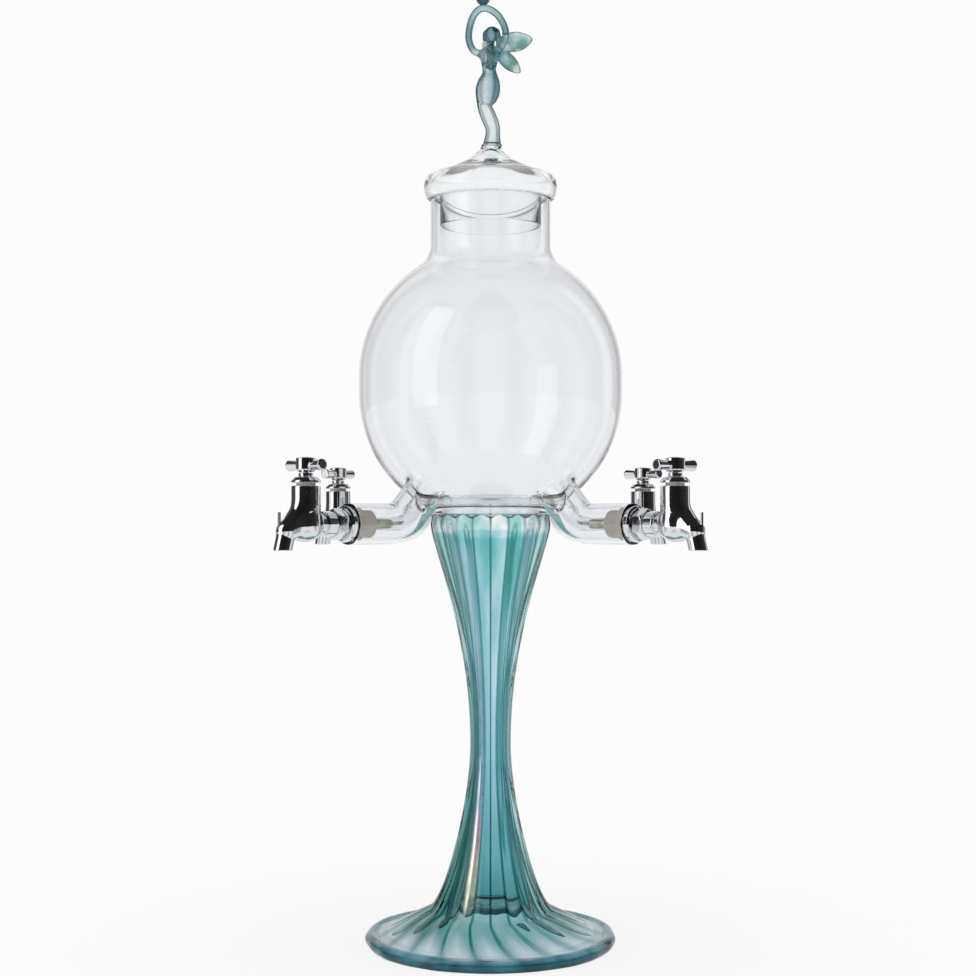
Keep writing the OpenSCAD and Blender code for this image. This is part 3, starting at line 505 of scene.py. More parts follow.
def figure_glass(name, clear, dark):
    """Drawn glass, nearly clear down one side and in the legs, teal in the hips, chest, head and wings"""
    mat, tree, b = glass(name, clear, 1.42)
    go = node_math(tree)
    x, y, z = place_on(tree)
    # height runs from 0 at the figure's feet to 1 at 100 mm
    height = go("DIVIDE", go("SUBTRACT", z, FIGURE_Z * MM), 0.1)
    body = ramp(tree, height, [
        (0.0, (0.25, 0.46, 0.52)),
        (0.04, (0.90, 0.94, 0.95)),
        (0.22, (0.86, 0.91, 0.93)),
        (0.27, (0.16, 0.36, 0.42)),
        (0.36, (0.26, 0.48, 0.55)),
        (0.44, (0.20, 0.44, 0.54)),
        (0.53, (0.12, 0.32, 0.42)),
        (0.58, (0.20, 0.36, 0.42)),
        (0.68, (0.18, 0.34, 0.36)),
        (0.76, (0.46, 0.64, 0.68)),
    ])
    across = go("ADD", go("DIVIDE", x, 0.016), 0.5)
    side = ramp(tree, across, [(0.0, 0.1), (0.25, 0.15), (0.6, 1.0)])
    side = go("MAXIMUM", side, ramp(tree, height, [(0.52, 0.0), (0.57, 1.0)]))
    teal = node_mix(tree, side, 1.0, body)
    # the wings are all that stands behind the body and away from the axis, and carry painted highlights
    wings = ramp(tree, height, [(0.58, (0.18, 0.35, 0.31)), (0.64, (0.30, 0.52, 0.52))])
    # painted highlights: near-white patches in the wings
    painted_wing_highlights = ramp(tree, noise(tree, 170, 1.0), [(0.5, 0.0), (0.62, 0.7)])
    behind = ramp(tree, go("DIVIDE", y, 0.01), [(0.0, 0.0), (0.20, 0.0), (0.32, 1.0)])
    away = ramp(tree, go("DIVIDE", from_axis(go, x, y), 0.01), [(0.0, 0.0), (0.66, 0.0), (0.82, 1.0)])
    teal = node_mix(tree, go("MULTIPLY", behind, away), teal, node_mix(tree, painted_wing_highlights, wings, 0.9))
    tone = noise(tree, 70, 2.0)
    cloud = ramp(tree, tone, [(0.35, (0.74, 0.80, 0.80)), (0.6, clear)])
    clouded = node_mix(tree, 1.0, teal, cloud, "MULTIPLY")
    # dark where the glass is seen from the side, but hardly in the chest
    facing = add(tree, "ShaderNodeLayerWeight", Blend=0.5).outputs["Facing"]
    edge = ramp(tree, facing, [(0.0, 0.0), (0.12, 0.02), (0.28, 0.45), (0.45, 1.0)])
    edge = go("MULTIPLY", edge, ramp(tree, height, [(0.44, 1.0), (0.49, 0.15), (0.57, 0.15), (0.62, 1.0)]))
    deep = ramp(tree, tone, [(0.3, dark), (0.7, [1.5 * v for v in dark])])
    tree.links.new(node_mix(tree, edge, clouded, deep), b.inputs["Base Color"])
    # the chest was worked over in the flame and is less smooth
    chest = ramp(tree, height, [(0.45, 0.0), (0.49, 0.20), (0.57, 0.20), (0.60, 0.0)])
    tree.links.new(chest, b.inputs["Roughness"])
    return mat


def chrome(name, wavy=0.0):
    """Chrome with faint smears, and as cast if it is wavy"""
    mat, tree, b = material(name, (0.74, 0.75, 0.77), Metallic=1.0, Roughness=0.05)
    level = ramp(tree, noise(tree, 400, 4.0, 0.6), [(0.35, 0.03), (0.75, 0.09)])
    tree.links.new(level, b.inputs["Roughness"])
    if wavy:
        bump(tree, b, noise(tree, 220, 1.5), wavy, RIPPLE)
    return mat


def silicone():
    mat, tree, b = material(
        "beige_silicone", (0.70, 0.63, 0.54), Roughness=0.42, Coat_Weight=0.15,
        Subsurface_Weight=0.35, Subsurface_Radius=(0.004, 0.003, 0.002), Subsurface_Scale=0.6)
    tone = ramp(tree, noise(tree, 180, 3.0), [(0.3, (0.62, 0.55, 0.47)), (0.7, (0.76, 0.70, 0.61))])
    tree.links.new(tone, b.inputs["Base Color"])
    bump(tree, b, noise(tree, 1500, 2.0), 0.15, GRAIN)
    return mat


def threaded():
    mat, tree, b = material("threaded_shank", (0.55, 0.52, 0.42), Metallic=1.0, Roughness=0.35)
    tone = ramp(tree, noise(tree, 300, 3.0), [(0.3, (0.34, 0.33, 0.27)), (0.7, (0.66, 0.63, 0.52))])
    tree.links.new(tone, b.inputs["Base Color"])
    bump(tree, b, noise(tree, 900, 2.0), 0.3, GRAIN)
    return mat


def black_rubber():
    mat, tree, b = material("black_rubber", (0.02, 0.02, 0.02), Roughness=0.6)
    grain = noise(tree, 1200, 2.0)
    tree.links.new(ramp(tree, grain, [(0.3, 0.015), (0.7, 0.03)]), b.inputs["Base Color"])
    bump(tree, b, grain, 0.3, GRAIN)
    return mat


MATERIALS = {
    "vessel": clear_glass("blown_clear_glass", (0.93, 0.94, 0.957), 1.46),
    "lid": clear_glass("lid_clear_glass", (0.965, 0.972, 0.98), 1.34),
    "stem": teal_glass(),
    "figure": figure_glass("figure_teal_glass", (0.96, 0.98, 0.98), (0.010, 0.05, 0.065)),
    "bead": bead_glass("bead_dark_glass", (0.12, 0.26, 0.30), (0.02, 0.07, 0.09)),
    "chrome": chrome("polished_chrome"),
    "cast": chrome("cast_chrome", 0.06),
    "silicone": silicone(),
    "shank": threaded(),
    "rubber": black_rubber(),
}


def finish_piece(o, body, slot, mat, *nodes):
    """Gives a piece its material and body, and hides the nodes that it stands for. The slot is not used"""
    o.data.materials.append(MATERIALS[mat])
    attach(o, body)
    if nodes:
        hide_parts(*nodes)


# Globe, collar and arms, melted into one
def arm_line(p, r):
    """Tubes of radius r along all four arms, and how far out each point lies along them"""
    s = math.sqrt(0.5)
    bend_u, bend_z = 77.0, ARM_Z + ARM_BEND
    ax, ay = np.abs(p[0]), np.abs(p[1])
    u, w = (ax + ay) * s, (ax - ay) * s
    du, dz = u - bend_u, p[2] - bend_z
    ring = np.sqrt(du * du + dz * dz) - ARM_BEND
    leg = (-s * du - s * dz) - ARM_BEND
    run = -dz - ARM_BEND
    # level beyond the bend, round in it, and slanting up into the globe
    flat = np.where(du > 0, run, np.where(s * dz - s * du > 0, leg, ring))
    return np.sqrt(flat * flat + w * w) - r, u


def with_neck(r, z, globe, neck, at_neck, at_globe):
    """Joins neck and globe by the round between them, whose centre lies outside the glass"""
    cr = NECK_R + FILLET
    cz = TOP_Z + math.sqrt((GLOBE_R + FILLET) ** 2 - cr * cr)
    dr, dz = r - cr, z - cz
    dist = np.sqrt(dr * dr + dz * dz) + 1e-9
    share = np.clip(-dz / dist * (GLOBE_R + FILLET) / (cz - TOP_Z), 0, 1)
    between = (dz < 0) & (dr * (cz - TOP_Z) - dz * cr < 0)
    return np.where(between, at_neck + (at_globe - at_neck) * share - dist, np.minimum(globe, neck))


def vessel_shape(p):
    r = np.sqrt(p[0] ** 2 + p[1] ** 2)
    z = p[2]
    mid = z - np.clip(z, LOW_Z, TOP_Z)
    globe = np.sqrt(r * r + mid * mid)
    neck = np.maximum(r - NECK_R, TOP_Z - z)
    out = with_neck(r, z, globe - GLOBE_R, neck, FILLET, FILLET)
    neck = np.maximum(r - (NECK_R - NECK_WALL), TOP_Z - z)
    hollow = with_neck(r, z, globe - (GLOBE_R - GLOBE_WALL), neck, FILLET + NECK_WALL, FILLET + GLOBE_WALL)
    # the raised floor, and the recess under it
    dome = 1.8 * np.clip(1 - (r / 36) ** 2, 0, 1)
    floor = smax(r - FLOOR_R, z - FLOOR_Z - dome, 5.0)
    hollow = smax(hollow, -floor, 1.2)
    recess = smax(r - RECESS_R, z - RECESS_Z - dome, 3.0)
    # the collar, standing on the stem
    out = np.maximum(out, STEM_H + 0.15 - z)
    out = smin(out, smax(r - COLLAR_R, np.abs(z - COLLAR_Z) - COLLAR_HALF, 1.5), 5.0)
    tube, u = arm_line(p, ARM_R)
    bore, _ = arm_line(p, ARM_BORE)
    tube = np.maximum(tube, u - ARM_REACH)
    out = smin(out, np.maximum(tube, 50.0 - u), 5.0)
    hollow = smin(hollow, np.maximum(bore, 48.0 - u), 7.0)
    glass_only = smax(smax(out, -hollow, 0.8), -recess, 0.8)
    return smax(smax(glass_only, z - NECK_Z, 0.9), u - ARM_REACH, 0.9)


pts, quads, nor = skin(vessel_shape, (-86, -86, 226), (86, 86, 427), cell(1.0))
vessel = mesh("globe_with_neck_and_arms", pts, quads, nor)
finish_piece(vessel, "fountain", "clear_glass", "vessel", "globe", "collar",
             *[f"glass_arm_{t}" for t in TAPS])

# Ribbed stem and foot: curves from the seat of the rim, over the foot and the waist, to the collar
WAIST_R, WAIST_Z = 11.65, 114
SHOULDER = (34.3, 240)
STEM = [
    [(SEAT_R, 6.5), (SEAT_R - 8, 8.6), (47, 14.5), (SWIRL_FROM, 19.5)],
    [(SWIRL_FROM, 19.5), (26.1, 24), (WAIST_R, WAIST_Z - 31.185), (WAIST_R, WAIST_Z)],
    [(WAIST_R, WAIST_Z), (WAIST_R, 181), (36.2, 231), SHOULDER],
    [SHOULDER, (33.8, 242.4), (33.55, 244.3), (33.4, STEM_H)],
]
STEM_ROWS = (26, 60, 60, 10)
STEM_WALL = 3.0
PER_FLUTE = 14


def build_stem():
    outer = []
    for k, (part, n) in enumerate(zip(STEM, STEM_ROWS)):
        outer += bezier(part, n, 1 if k else 0)
    outer = np.array(outer)
    d = np.gradient(outer, axis=0)
    normal = np.stack([d[:, 1], -d[:, 0]], 1)
    normal /= np.linalg.norm(normal, axis=1)[:, None]
    t = np.concatenate([k + np.arange(1 if k else 0, n + 1) / n for k, n in enumerate(STEM_ROWS)])
    # the flutes get shallow at the waist and run out at the rim and the collar
    depth = np.clip(0.03 * outer[:, 0] - 0.1, 0.2, 1.0) * np.clip((70 - outer[:, 0]) / 34, 0.4, 1)
    depth *= np.clip((SEAT_R - outer[:, 0]) / 12, 0, 1) * np.clip((STEM_H - 1 - outer[:, 1]) / 9, 0, 1)
    swirl = np.where(t > 1, 0, SWIRL * (outer[:, 0] - SWIRL_FROM) / (SEAT_R - SWIRL_FROM))
    inner = outer - STEM_WALL * normal
    inner[0] = (SEAT_R, 3.5)
    inner[-1] = (30.4, STEM_H)
    sides = FLUTES * PER_FLUTE
    i = np.arange(sides)
    sharp = 1 - np.abs(np.sin(math.pi * i / PER_FLUTE))
    soft = 0.5 + 0.5 * np.cos(2 * math.pi * i / PER_FLUTE)
    base = 2 * math.pi * i / sides
    rings = []

    def ring(p, deg, cut=0.0, n=(1.0, 0.0)):
        a = base + math.radians(deg)
        # soft waves on the foot and under the collar, sharp grooves between
        blend = (p[0] - 24) / 16 if p[1] < 100 else (p[1] - 228) / 10
        blend = min(max(blend, 0), 1)
        groove = sharp * (1 - blend) + soft * blend
        r = p[0] - cut * groove * n[0]
        z = p[1] - cut * groove * n[1]
        rings.append(np.stack([r * np.cos(a), r * np.sin(a), z + 0 * a], 1))

    for p, s, c, n in zip(outer, swirl, depth, normal):
        ring(p, s, c, n)
    for k in range(len(inner) - 1, -1, -1):
        # the mould's ribs show faintly inside, low down
        faint = 0.5 * min(max((60 - inner[k][1]) / 40, 0), 1)
        ring(inner[k], swirl[k], faint * depth[k], normal[k])
    for p in ((SEAT_R + 0.15, 1.2), (SEAT_R + 0.3, 0.15), (SEAT_R + 0.6, 0.0), (69.2, 0.0)):
        ring(p, SWIRL)
    for a in np.linspace(math.radians(-53), math.radians(118), 26):
        ring((RIM_R + RIM_BEAD * math.cos(a), RIM_Z + RIM_BEAD * math.sin(a)), SWIRL)
        # a hand-rolled edge is never quite even
        wave = 0.35 * np.sin(5 * base + 1) + 0.25 * np.sin(11 * base) + 0.15 * np.sin(23 * base + 2)
        rings[-1][:, :2] *= (1 + wave * math.cos(a / 2) / RIM_R)[:, None]
    return mesh("ribbed_stem_and_foot", np.concatenate(rings), ring_quads(len(rings), sides, True))


finish_piece(build_stem(), "fountain", "teal_glass", "stem", "pedestal", "foot_rim")


# Lid
def build_lid():
    r, h, wall = 38.0, 13.7, 1.3
    plug_r, plug_in, plug_z = 28.8, 27.4, -15.2
    side, shoulder = 0.47 * h, r - 4
    # outside, from the plug's mouth up round the flange bead and the cone to the figure's seat
    line = [(plug_r, plug_z), (plug_r, -1.2)]
    line += rounded([(plug_r, -1.2, 0), (plug_r, 0, 0.8), (r - 3, 0, 0)], 4)[1:-1]
    line += bezier([(r - 3, 0), (r - 0.6, 0.3), (r, side / 2), (r, side)], 12)
    line += bezier([(r, side), (r, h * 0.75), (r - 1, h * 0.93), (shoulder, h)], 14, 1)
    line += bezier([(shoulder, h), (shoulder - 10, h + 2.9), (9.4, 23), (5.4, 29.9)], 30, 1)
    line += [(5.2, 29.96), (3, 29.98), (0, 29.98)]
    # inside, from under the seat back down to the flange and the plug, and round the plug's edge
    line += bezier([(0.0, 27.4), (4.0, 27.4), (6.6, 22), (11.6, 18.9)], 14)
    line += bezier([(11.6, 18.9), (16.6, 15.9), (shoulder - 10, h + 1.6), (shoulder - 1, h - wall)], 20, 1)
    foot = r - wall - 2.5
    line += bezier([(shoulder - 1, h - wall), (r - wall, h * 0.7), (r - wall, wall + 2), (foot, wall)], 14, 1)
    line += rounded([(foot, wall, 0), (plug_in, wall, 1.0), (plug_in, plug_z, 0)], 5)[1:]
    mid, half = (plug_r + plug_in) / 2, (plug_r - plug_in) / 2
    line += [(mid - half * math.cos(a), plug_z - 0.5 * math.sin(a)) for a in np.linspace(0, math.pi, 9)[1:-1]]
    return lathe("lid_glass", line, 192, closed=True, place=Matrix.Translation((0, 0, LID_Z)))


finish_piece(build_lid(), "lid", "clear_glass", "lid", "lid")

# Figure: lines of (x, z, radius) up the body and round the raised arms, drawn smooth
BODY = [
    (0.8, 0.6, 5.3), (1.0, 3.0, 4.9), (1.25, 7.1, 4.2), (1.2, 11.3, 4.2), (-0.2, 15.4, 4.5),
    (-2.0, 19.6, 4.4), (-3.5, 23.7, 4.1), (-3.3, 26.4, 4.7), (-2.0, 30.0, 6.5), (-1.5, 33.1, 7.1),
    (-1.05, 36.2, 6.4), (-0.65, 39.3, 5.1), (-0.65, 42.5, 4.1), (-0.8, 45.5, 4.0), (-0.75, 48.7, 4.7),
    (-0.65, 51.6, 5.0), (-0.7, 54.0, 4.2), (-0.2, 56.6, 2.3), (0.2, 60.0, 2.0),
]
ARM_ROD = 2.0
ARMS = [(x, z, ARM_ROD) for x, z in [
    (-5.0, 53.6), (-7.6, 54.0), (-10.4, 56.2), (-12.4, 61.7), (-12.0, 68.4), (-9.8, 75.0), (-6.2, 79.0),
    (-1.5, 79.3), (3.7, 76.0), (7.4, 70.5), (8.7, 65.3), (7.5, 60.2), (5.0, 56.6), (2.4, 54.4),
]]
# Root, azimuth, rise, length and width of each wing
WINGS = [
    ((2.7, 1.8, 59.2), 20, 13, 24.0, 11.4),
    ((2.4, 1.6, 56.8), 20, -38, 20.5, 9.2),
    ((-0.3, 3.0, 59.2), 100, 13, 23.5, 11.4),
    ((-0.3, 2.8, 56.8), 100, -38, 19.5, 9.2),
]
WING_T = 2.2


def smooth_line(points, per):
    """A curve through the points, in per steps from one to the next"""
    p = np.array([points[0]] + list(points) + [points[-1]], float)
    out = []
    for i in range(1, len(p) - 2):
        for k in range(per):
            t = k / per
            out.append(0.5 * (2 * p[i] + (p[i + 1] - p[i - 1]) * t
                              + (2 * p[i - 1] - 5 * p[i] + 4 * p[i + 1] - p[i + 2]) * t * t
                              + (3 * p[i] - p[i - 1] - 3 * p[i + 1] + p[i + 2]) * t ** 3))
    out.append(p[-2])
    return out


def chain(p, line):
    """Round limbs in a row, in the plane that faces the front"""
    d = None
    for a, b in zip(line, line[1:]):
        one = limb(p, (a[0], 0, a[1]), (b[0], 0, b[1]), a[2], b[2])
        d = one if d is None else np.minimum(d, one)
    return d


def leaf(p, root, azimuth, rise, length, width):
    """A pressed wing, pointed at both ends, with a vein along it"""
    a, e = math.radians(azimuth), math.radians(rise)
    along = (math.cos(a) * math.cos(e), math.sin(a) * math.cos(e), math.sin(e))
    flat = (-math.sin(a), math.cos(a), 0)
    up = (-math.cos(a) * math.sin(e), -math.sin(a) * math.sin(e), math.cos(e))
    q = [p[i] - root[i] for i in range(3)]
    u = sum(q[i] * along[i] for i in range(3)) - length / 2
    v = sum(q[i] * up[i] for i in range(3))
    w = sum(q[i] * flat[i] for i in range(3))
    # two arcs of one circle meet in the tips of the leaf
    h, d = length / 2, width / 2
    big = (h * h + d * d) / (2 * d)
    plane = np.sqrt(u * u + (np.abs(v) + big - d) ** 2) - big
    plane = smax(plane, np.abs(u) - h, 0.8)
    body = np.maximum(plane + WING_T / 2, 0)
    full = WING_T / 2 + 0.35 * np.clip(-plane / 3.0, 0, 1)
    vein = 0.22 * np.exp(-(v / 0.7) ** 2)
    return np.sqrt(body * body + w * w) - full + vein


BODY_LINE = smooth_line(BODY, 2)
ARM_LINE = smooth_line(ARMS, 3)


def figure_shape(p):
    # the body is a tenth flatter than it is wide, and stands on a round foot
    d = smax(chain([p[0], p[1] / 0.9, p[2]], BODY_LINE), -p[2], 0.4)
    d = smin(d, rod(p, (0.6, 0, 0.0), (0.6, 0, 1.6), 5.9, 1.2), 1.0)
    d = smin(d, chain(p, ARM_LINE), 2.4)
    # bust, turned with the chest
    d = smin(d, ball(p, (-3.2, -2.3, 51.4), 2.0), 3.4)
    d = smin(d, ball(p, (0.9, -2.8, 51.4), 2.0), 3.4)
    head = oval(p, (0.2, -1.2, 64.2), (3.3, 3.5, 4.3))
    hair = oval(p, (0.8, 0.7, 65.0), (4.5, 4.2, 4.3))
    hair = smin(hair, limb(p, (-2.9, 0.2, 65.0), (-3.3, 0.2, 62.0), 1.5, 1.3), 1.2)
    hair = smin(hair, limb(p, (3.4, 0.6, 66.0), (5.0, 0.8, 61.4), 1.7, 1.2), 1.2)
    d = smin(d, smin(head, hair, 0.8), 1.4)
    for wing in WINGS:
        d = smin(d, leaf(p, *wing), 1.6)
    return d


pts, quads, nor = skin(figure_shape, (-17, -10, -2), (28, 28, 84), cell(0.5))
figure = mesh("winged_figure", pts, quads, nor, Matrix.Translation((0, 0, FIGURE_Z)))
finish_piece(figure, "lid", "figure_glass", "figure", "figure_body", "figure_arms", "figure_wings")

BEAD_R, BEAD_AT = 3.95, (-4.3, 0, FIGURE_Z + 85.0)
bead_line = [(BEAD_R * math.sin(a), -0.98 * BEAD_R * math.cos(a)) for a in np.linspace(0, math.pi, 33)]
bead = lathe("hand_bead", bead_line, 48, place=Matrix.Translation(BEAD_AT))
finish_piece(bead, "lid", "bead_glass", "bead", "figure_bead")


# Taps, each round its own spindle: X points out along the arm, and Z is 0 on the arm's centre line
def casting(p):
    z = p[2]
    root, end = (12.594, 0, -3.4), (17.042, 0, -20)
    barrel = smax(limb(p, (0, 0, -0.9), (0, 0, 40), BARREL_R, BARREL_R), z - 19.9, 0.5)
    horn = limb(p, (0.5, 0, 9.0), root, 6.6, SPOUT_R)
    keel = limb(p, (0, 0, -0.9), root, 7.7, SPOUT_R)
    spout = limb(p, root, end, SPOUT_R, SPOUT_R)
    d = smin(smin(smin(barrel, horn, 2.0), keel, 3.0), spout, 0.8)
    # inlet with its shoulder, and the lug on the spout
    shoulder = smax(rod(p, (-17, 0, 0), (-10.5, 0, 0), 7.0), rod(p, (-17.8, 0, 0), (-9.7, 0, 0), 6.9), 0.8)
    inlet = smin(rod(p, (-17, 0, 0), (0, 0, 0), INLET_R), shoulder, 0.4)
    d = smin(d, inlet, 1.2)
    d = smin(d, block(p, (17.49, 0, 0.95), (0.6, 0.8, 5.35), 0.4), 0.5)
    d = smax(d, -13.5 - z, 0.4)
    # the waterway: spout, port, chamber, inlet, shank's hole and seat
    way = limb(p, root, end, 3.2, 3.2)
    way = np.minimum(way, limb(p, (4.0, 0, 6), root, 2.3, 2.3))
    way = np.minimum(way, rod(p, (0, 0, 3.2), (0, 0, 30), 4.1))
    way = np.minimum(way, rod(p, (-30, 0, 0), (0, 0, 0), 2.2))
    way = np.minimum(way, rod(p, (-30, 0, 0), (-8.9, 0, 0), 2.7))
    way = np.minimum(way, rod(p, (0, 0, -1), (0, 0, 4), 2.0))
    return smax(d, -way, 0.3)


def bar_handle(p):
    x, y, z = p
    r = np.sqrt(x * x + y * y)
    mid = HUB_HALF
    hub = smax(r - HUB_R, np.abs(z - mid) - mid, 0.5)
    hub = smax(hub, (r - 4.0 - z) * 0.7071, 0.3)
    # the arms widen from 4.5 to 12.5 mm from the middle
    t = np.clip((np.abs(x) - 4.5) / 8.0, 0, 1)
    arm = smax(np.sqrt(y * y + (z - mid) ** 2) - (2.3 + 0.8 * t), np.abs(x) - BAR_HALF, 0.9)
    d = smin(hub, arm, 0.6)
    return smax(d, -rod(p, (0, 0, -1), (0, 0, 7.7), 1.2, 0.1), 0.2)


def nut_shape(p):
    x, y, z = p
    flat = NUT_R * math.cos(math.pi / 6)
    mid = NUT_T / 2
    sector = np.mod(np.arctan2(y, x), math.pi / 3) - math.pi / 6
    r = np.sqrt(x * x + y * y)
    hexagon = r * np.cos(sector) - flat
    cone = (r - flat - 0.15 + np.abs(z - mid) - mid) / 1.2
    d = smax(smax(hexagon, cone, 0.35), np.abs(z - mid) - mid, 0.3)
    return smax(d, ON_SHANK_BORE - r, 0.2)


pts, quads, nor = skin(casting, (-17.9, -9, -14.5), (21.6, 9, 21), cell(0.4))
for tap in TAPS:
    o = mesh(f"tap_casting_{tap}", pts, quads, nor, at_tap(tap))
    finish_piece(o, "fountain", "chrome", "cast", f"tap_body_{tap}")

BONNET = rounded([
    (4.0, 10.0, 0), (4.0, 21.4, 0), (7.6, 21.4, 0), (7.85, 21.6, 0.2), (7.85, 22.6, 0.7),
    (6.3, 24.3, 1.2), (3.9, 24.9, 0.5), (3.9, 26.5, 0.3), (1.65, 26.5, 0), (1.65, 10.0, 0)])
for tap in TAPS:
    o = lathe(f"tap_bonnet_{tap}", BONNET, 72, closed=True, place=at_tap(tap))
    finish_piece(o, "fountain", "chrome", "chrome", f"bonnet_{tap}")

pts, quads, nor = skin(bar_handle, (-14.3, -6.2, -0.8), (14.3, 6.2, 8.5), cell(0.34))
for tap in TAPS:
    on_spindle = at_tap(tap, HANDLE_REST[tap]) @ Matrix.Translation((0, 0, HUB_Z))
    o = mesh(f"bar_handle_{tap}", pts, quads, nor, on_spindle)
    finish_piece(o, f"handle_{tap}", "chrome", "chrome", f"handle_{tap}")

pts, quads, nor = skin(nut_shape, (-9.2, -9.2, -0.6), (9.2, 9.2, NUT_T + 0.6), cell(0.36))
for tap in TAPS:
    o = mesh(f"lock_nut_{tap}", pts, quads, nor, along_arm(tap, ARM_REACH + FLANGE_T))
    finish_piece(o, "fountain", "chrome", "chrome", "lock_nuts")

# Turned pieces in the mouth of each arm, from the mouth outwards, and the washer under the bonnet
WASHER = rounded([
    (ON_SHANK_BORE, 0, 0), (9.4, 0, 0.2), (9.8, 0.4, 0.2), (9.8, 2.6, 0.4),
    (8.9, FLANGE_T, 0.3), (ON_SHANK_BORE, FLANGE_T, 0)])
STOPPER = rounded([
    (ON_SHANK_BORE, 0, 0), (8.95, 0, 0.4), (8.95, -5.4, 0.7), (7.5, -5.4, 0.3),
    (7.5, -14.5, 0.8), (ON_SHANK_BORE, -14.5, 0)])
SEAL = rounded([(4.05, 19.9, 0), (5.0, 19.9, 0.3), (5.0, 21.4, 0.3), (4.05, 21.4, 0)])
SHANK_IN, SHANK_OUT = -29.5, FLANGE_T + NUT_T + SHANK_GRIP
THREAD_DEPTH, TURNS = 0.16, 30
# four points to each groove of the thread, which are 1 mm apart: two deep and two full
grooves = [(SHANK_R - (THREAD_DEPTH if k % 4 < 2 else 0.0), k / 4 + SHANK_IN) for k in range(4 * TURNS)]
SHANK = [(SHANK_BORE, SHANK_IN)] + grooves + [(SHANK_R, SHANK_OUT), (SHANK_BORE, SHANK_OUT)]
for tap in TAPS:
    mouth = along_arm(tap, ARM_REACH)
    o = lathe(f"flange_washer_{tap}", WASHER, 72, closed=True, place=mouth)
    finish_piece(o, "fountain", "chrome", "chrome", "flange_washers")
    o = lathe(f"silicone_stopper_{tap}", STOPPER, 72, closed=True, place=mouth)
    finish_piece(o, "fountain", "silicone", "silicone", f"stopper_{tap}")
    o = lathe(f"threaded_shank_{tap}", SHANK, 48, closed=True, place=mouth)
    finish_piece(o, "fountain", "brass", "shank", f"shank_{tap}")
    o = lathe(f"bonnet_washer_{tap}", SEAL, 60, closed=True, place=at_tap(tap))
    finish_piece(o, "fountain", "silicone", "silicone", "bonnet_seals")

# Finishes of the nodes that are the construction's own
FINISH = {
    "spindle": "shank",
    "jumper": "shank",
    "valve_washer": "rubber",
    "gland_rings": "rubber",
    "handle_screw": "chrome",
}
for name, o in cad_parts.items():
    for start, key in FINISH.items():
        if name.startswith(start):
            o.data.materials.clear()
            o.data.materials.append(MATERIALS[key])


# Stage, light and camera
WHITE, DIM, PANELS = 0.973, 0.42, 8


def sectors(tree, vector):
    """Upright panels all round: 1 in front of a panel, 0 between two. Also the turn and Z"""
    go = node_math(tree)
    split = add(tree, "ShaderNodeSeparateXYZ")
    tree.links.new(vector, split.inputs["Vector"])
    x, y, z = (split.outputs[k] for k in "XYZ")
    turn = go("DIVIDE", go("ARCTAN2", y, x), 2 * math.pi)
    part = go("FRACT", go("ADD", go("MULTIPLY", turn, float(PANELS)), PANELS + 0.5))
    edge = go("ABSOLUTE", go("SUBTRACT", part, 0.5))
    return ramp(tree, edge, [(0.0, 1.0), (0.22, 1.0), (0.48, 0.0), (1.0, 0.0)]), turn, z


def floor_material():
    """Pale floor that keeps the shadow, with the panels mirrored in it further out"""
    mat = bpy.data.materials.new("studio_floor")
    mat.use_nodes = True
    tree = mat.node_tree
    tree.nodes.clear()
    go = node_math(tree)
    out = add(tree, "ShaderNodeOutputMaterial")
    diffuse = add(tree, "ShaderNodeBsdfDiffuse", Color=(0.9, 0.9, 0.9, 1))
    glow = add(tree, "ShaderNodeEmission", Strength=WHITE)
    path = add(tree, "ShaderNodeLightPath").outputs
    coord = add(tree, "ShaderNodeTexCoord")
    panels = sectors(tree, coord.outputs["Object"])[0]
    far = add(tree, "ShaderNodeVectorMath", operation="LENGTH")
    tree.links.new(coord.outputs["Object"], far.inputs[0])
    # 1 at two metres from the object
    far = go("DIVIDE", far.outputs["Value"], 2.0)
    near = ramp(tree, far, [(0.0, 1.0), (0.12, 1.0), (0.25, 0.0)])
    seen = node_mix(tree, go("MAXIMUM", panels, near), DIM, WHITE)
    seen = node_mix(tree, path["Is Camera Ray"], seen, 1.0)
    tree.links.new(seen, glow.inputs["Color"])
    special = go("MAXIMUM", path["Is Camera Ray"], path["Is Transmission Ray"])
    special = go("MAXIMUM", special, path["Is Glossy Ray"])
    share = ramp(tree, far, [(0.0, 0.88), (0.04, 0.90), (0.12, 0.975), (0.25, 1.0)])
    mix = add(tree, "ShaderNodeMixShader")
    tree.links.new(go("MULTIPLY", special, share), mix.inputs[0])
    tree.links.new(diffuse.outputs[0], mix.inputs[1])
    tree.links.new(glow.outputs[0], mix.inputs[2])
    tree.links.new(mix.outputs[0], out.inputs["Surface"])
    return mat


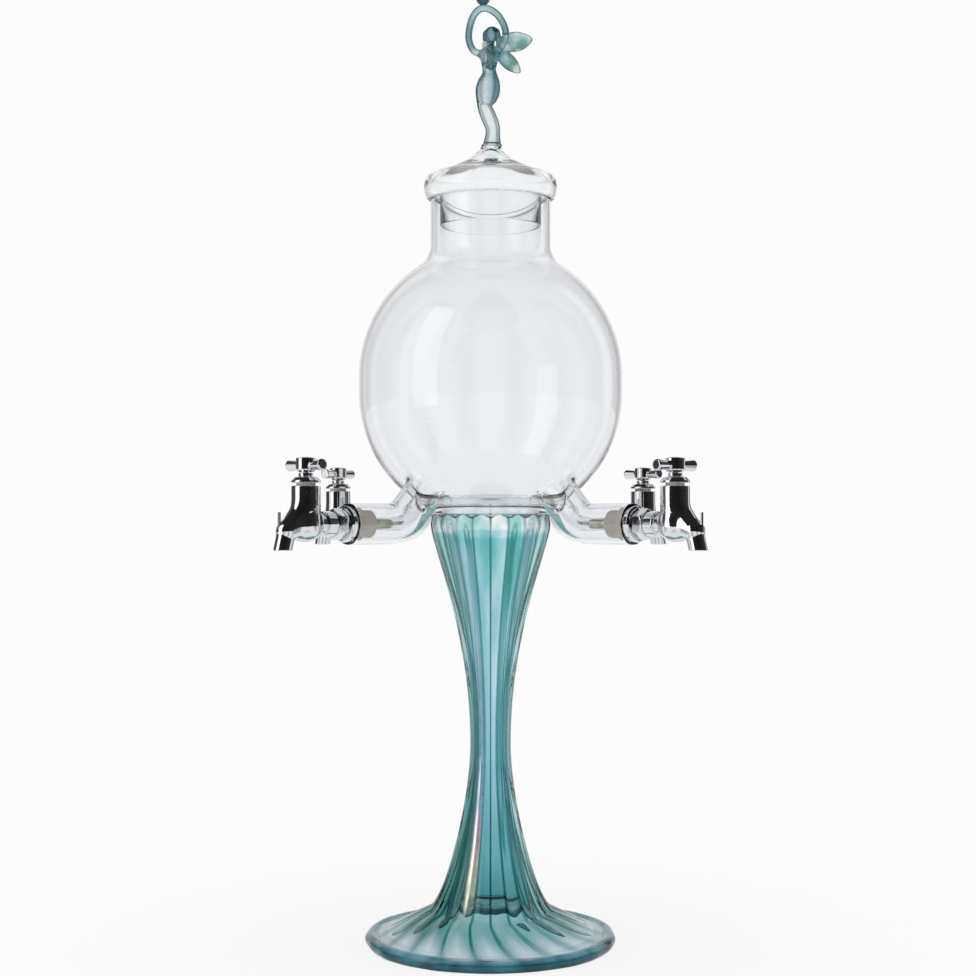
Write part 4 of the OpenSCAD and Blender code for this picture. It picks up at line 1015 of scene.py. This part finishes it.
def build_world():
    """A white room with dimmer strips in what glass shows, and a dark room with panels for metal"""
    world = bpy.data.worlds.new("studio")
    bpy.context.scene.world = world
    world.use_nodes = True
    tree = world.node_tree
    go = node_math(tree)
    coord = add(tree, "ShaderNodeTexCoord")
    panels, turn, height = sectors(tree, coord.outputs["Generated"])
    level = go("ABSOLUTE", height)
    band = ramp(tree, level, [(0.0, 1.0), (0.7, 1.0), (0.9, 0.0)])
    glass_sky = node_mix(tree, go("MULTIPLY", panels, band), DIM, WHITE)
    # metal reflects a bright panel to the left front and a slim one to the right
    strips = ramp(tree, go("ADD", turn, 0.5), [
        (0.0, 0.06), (0.008, 0.06), (0.02, 1.0), (0.095, 1.0), (0.11, 0.02), (0.30, 0.01),
        (0.47, 0.03), (0.49, 0.05), (0.56, 0.05), (0.575, 0.8), (0.61, 0.8), (0.625, 0.1),
        (0.65, 0.1), (0.68, 0.9), (0.84, 0.9), (0.87, 0.08), (1.0, 0.06)])
    tall = ramp(tree, level, [(0.0, 1.0), (0.7, 1.0), (0.8, 0.0)])
    metal_sky = node_mix(tree, tall, 0.02, strips)
    path = add(tree, "ShaderNodeLightPath").outputs
    sky = node_mix(tree, path["Is Glossy Ray"], 0.62, metal_sky)
    sky = node_mix(tree, path["Is Transmission Ray"], sky, glass_sky)
    sky = node_mix(tree, path["Is Camera Ray"], sky, WHITE)
    tree.links.new(sky, tree.nodes["Background"].inputs["Color"])


# the floor lies a little under the foot, so that the two don't share a plane
bpy.ops.mesh.primitive_plane_add(size=12, location=(0, 0, -0.0004))
floor = bpy.context.active_object
floor.name = "studio_floor"
floor.data.materials.append(floor_material())
build_world()

LAMP_AT, LAMP_TO = (-0.92, -0.60, 0.80), (0, 0, 0.60)
LAMP_SIZE, RADIANCE = (0.50, 1.5), 1.1
lamp = bpy.data.lights.new("key_left", "AREA")
lamp.shape = "RECTANGLE"
lamp.size, lamp.size_y = LAMP_SIZE
lamp.energy = RADIANCE * math.pi * LAMP_SIZE[0] * LAMP_SIZE[1]
key_left = bpy.data.objects.new("key_left", lamp)
key_left.location = LAMP_AT
key_left.rotation_euler = (Vector(LAMP_TO) - Vector(LAMP_AT)).to_track_quat("-Z", "Y").to_euler()
bpy.context.scene.collection.objects.link(key_left)

# a metre in front of the object, level with its arms
lens = bpy.data.cameras.new("camera")
lens.lens, lens.sensor_width = 64.5, 36
lens.shift_x, lens.shift_y = -0.0026, 0.0302
camera = bpy.data.objects.new("camera", lens)
camera.location = (0, -1.0, 0.243)
camera.rotation_euler = (math.pi / 2, 0, 0)
bpy.context.scene.collection.objects.link(camera)
bpy.context.scene.camera = camera
bpy.context.scene.view_settings.view_transform = "Standard"
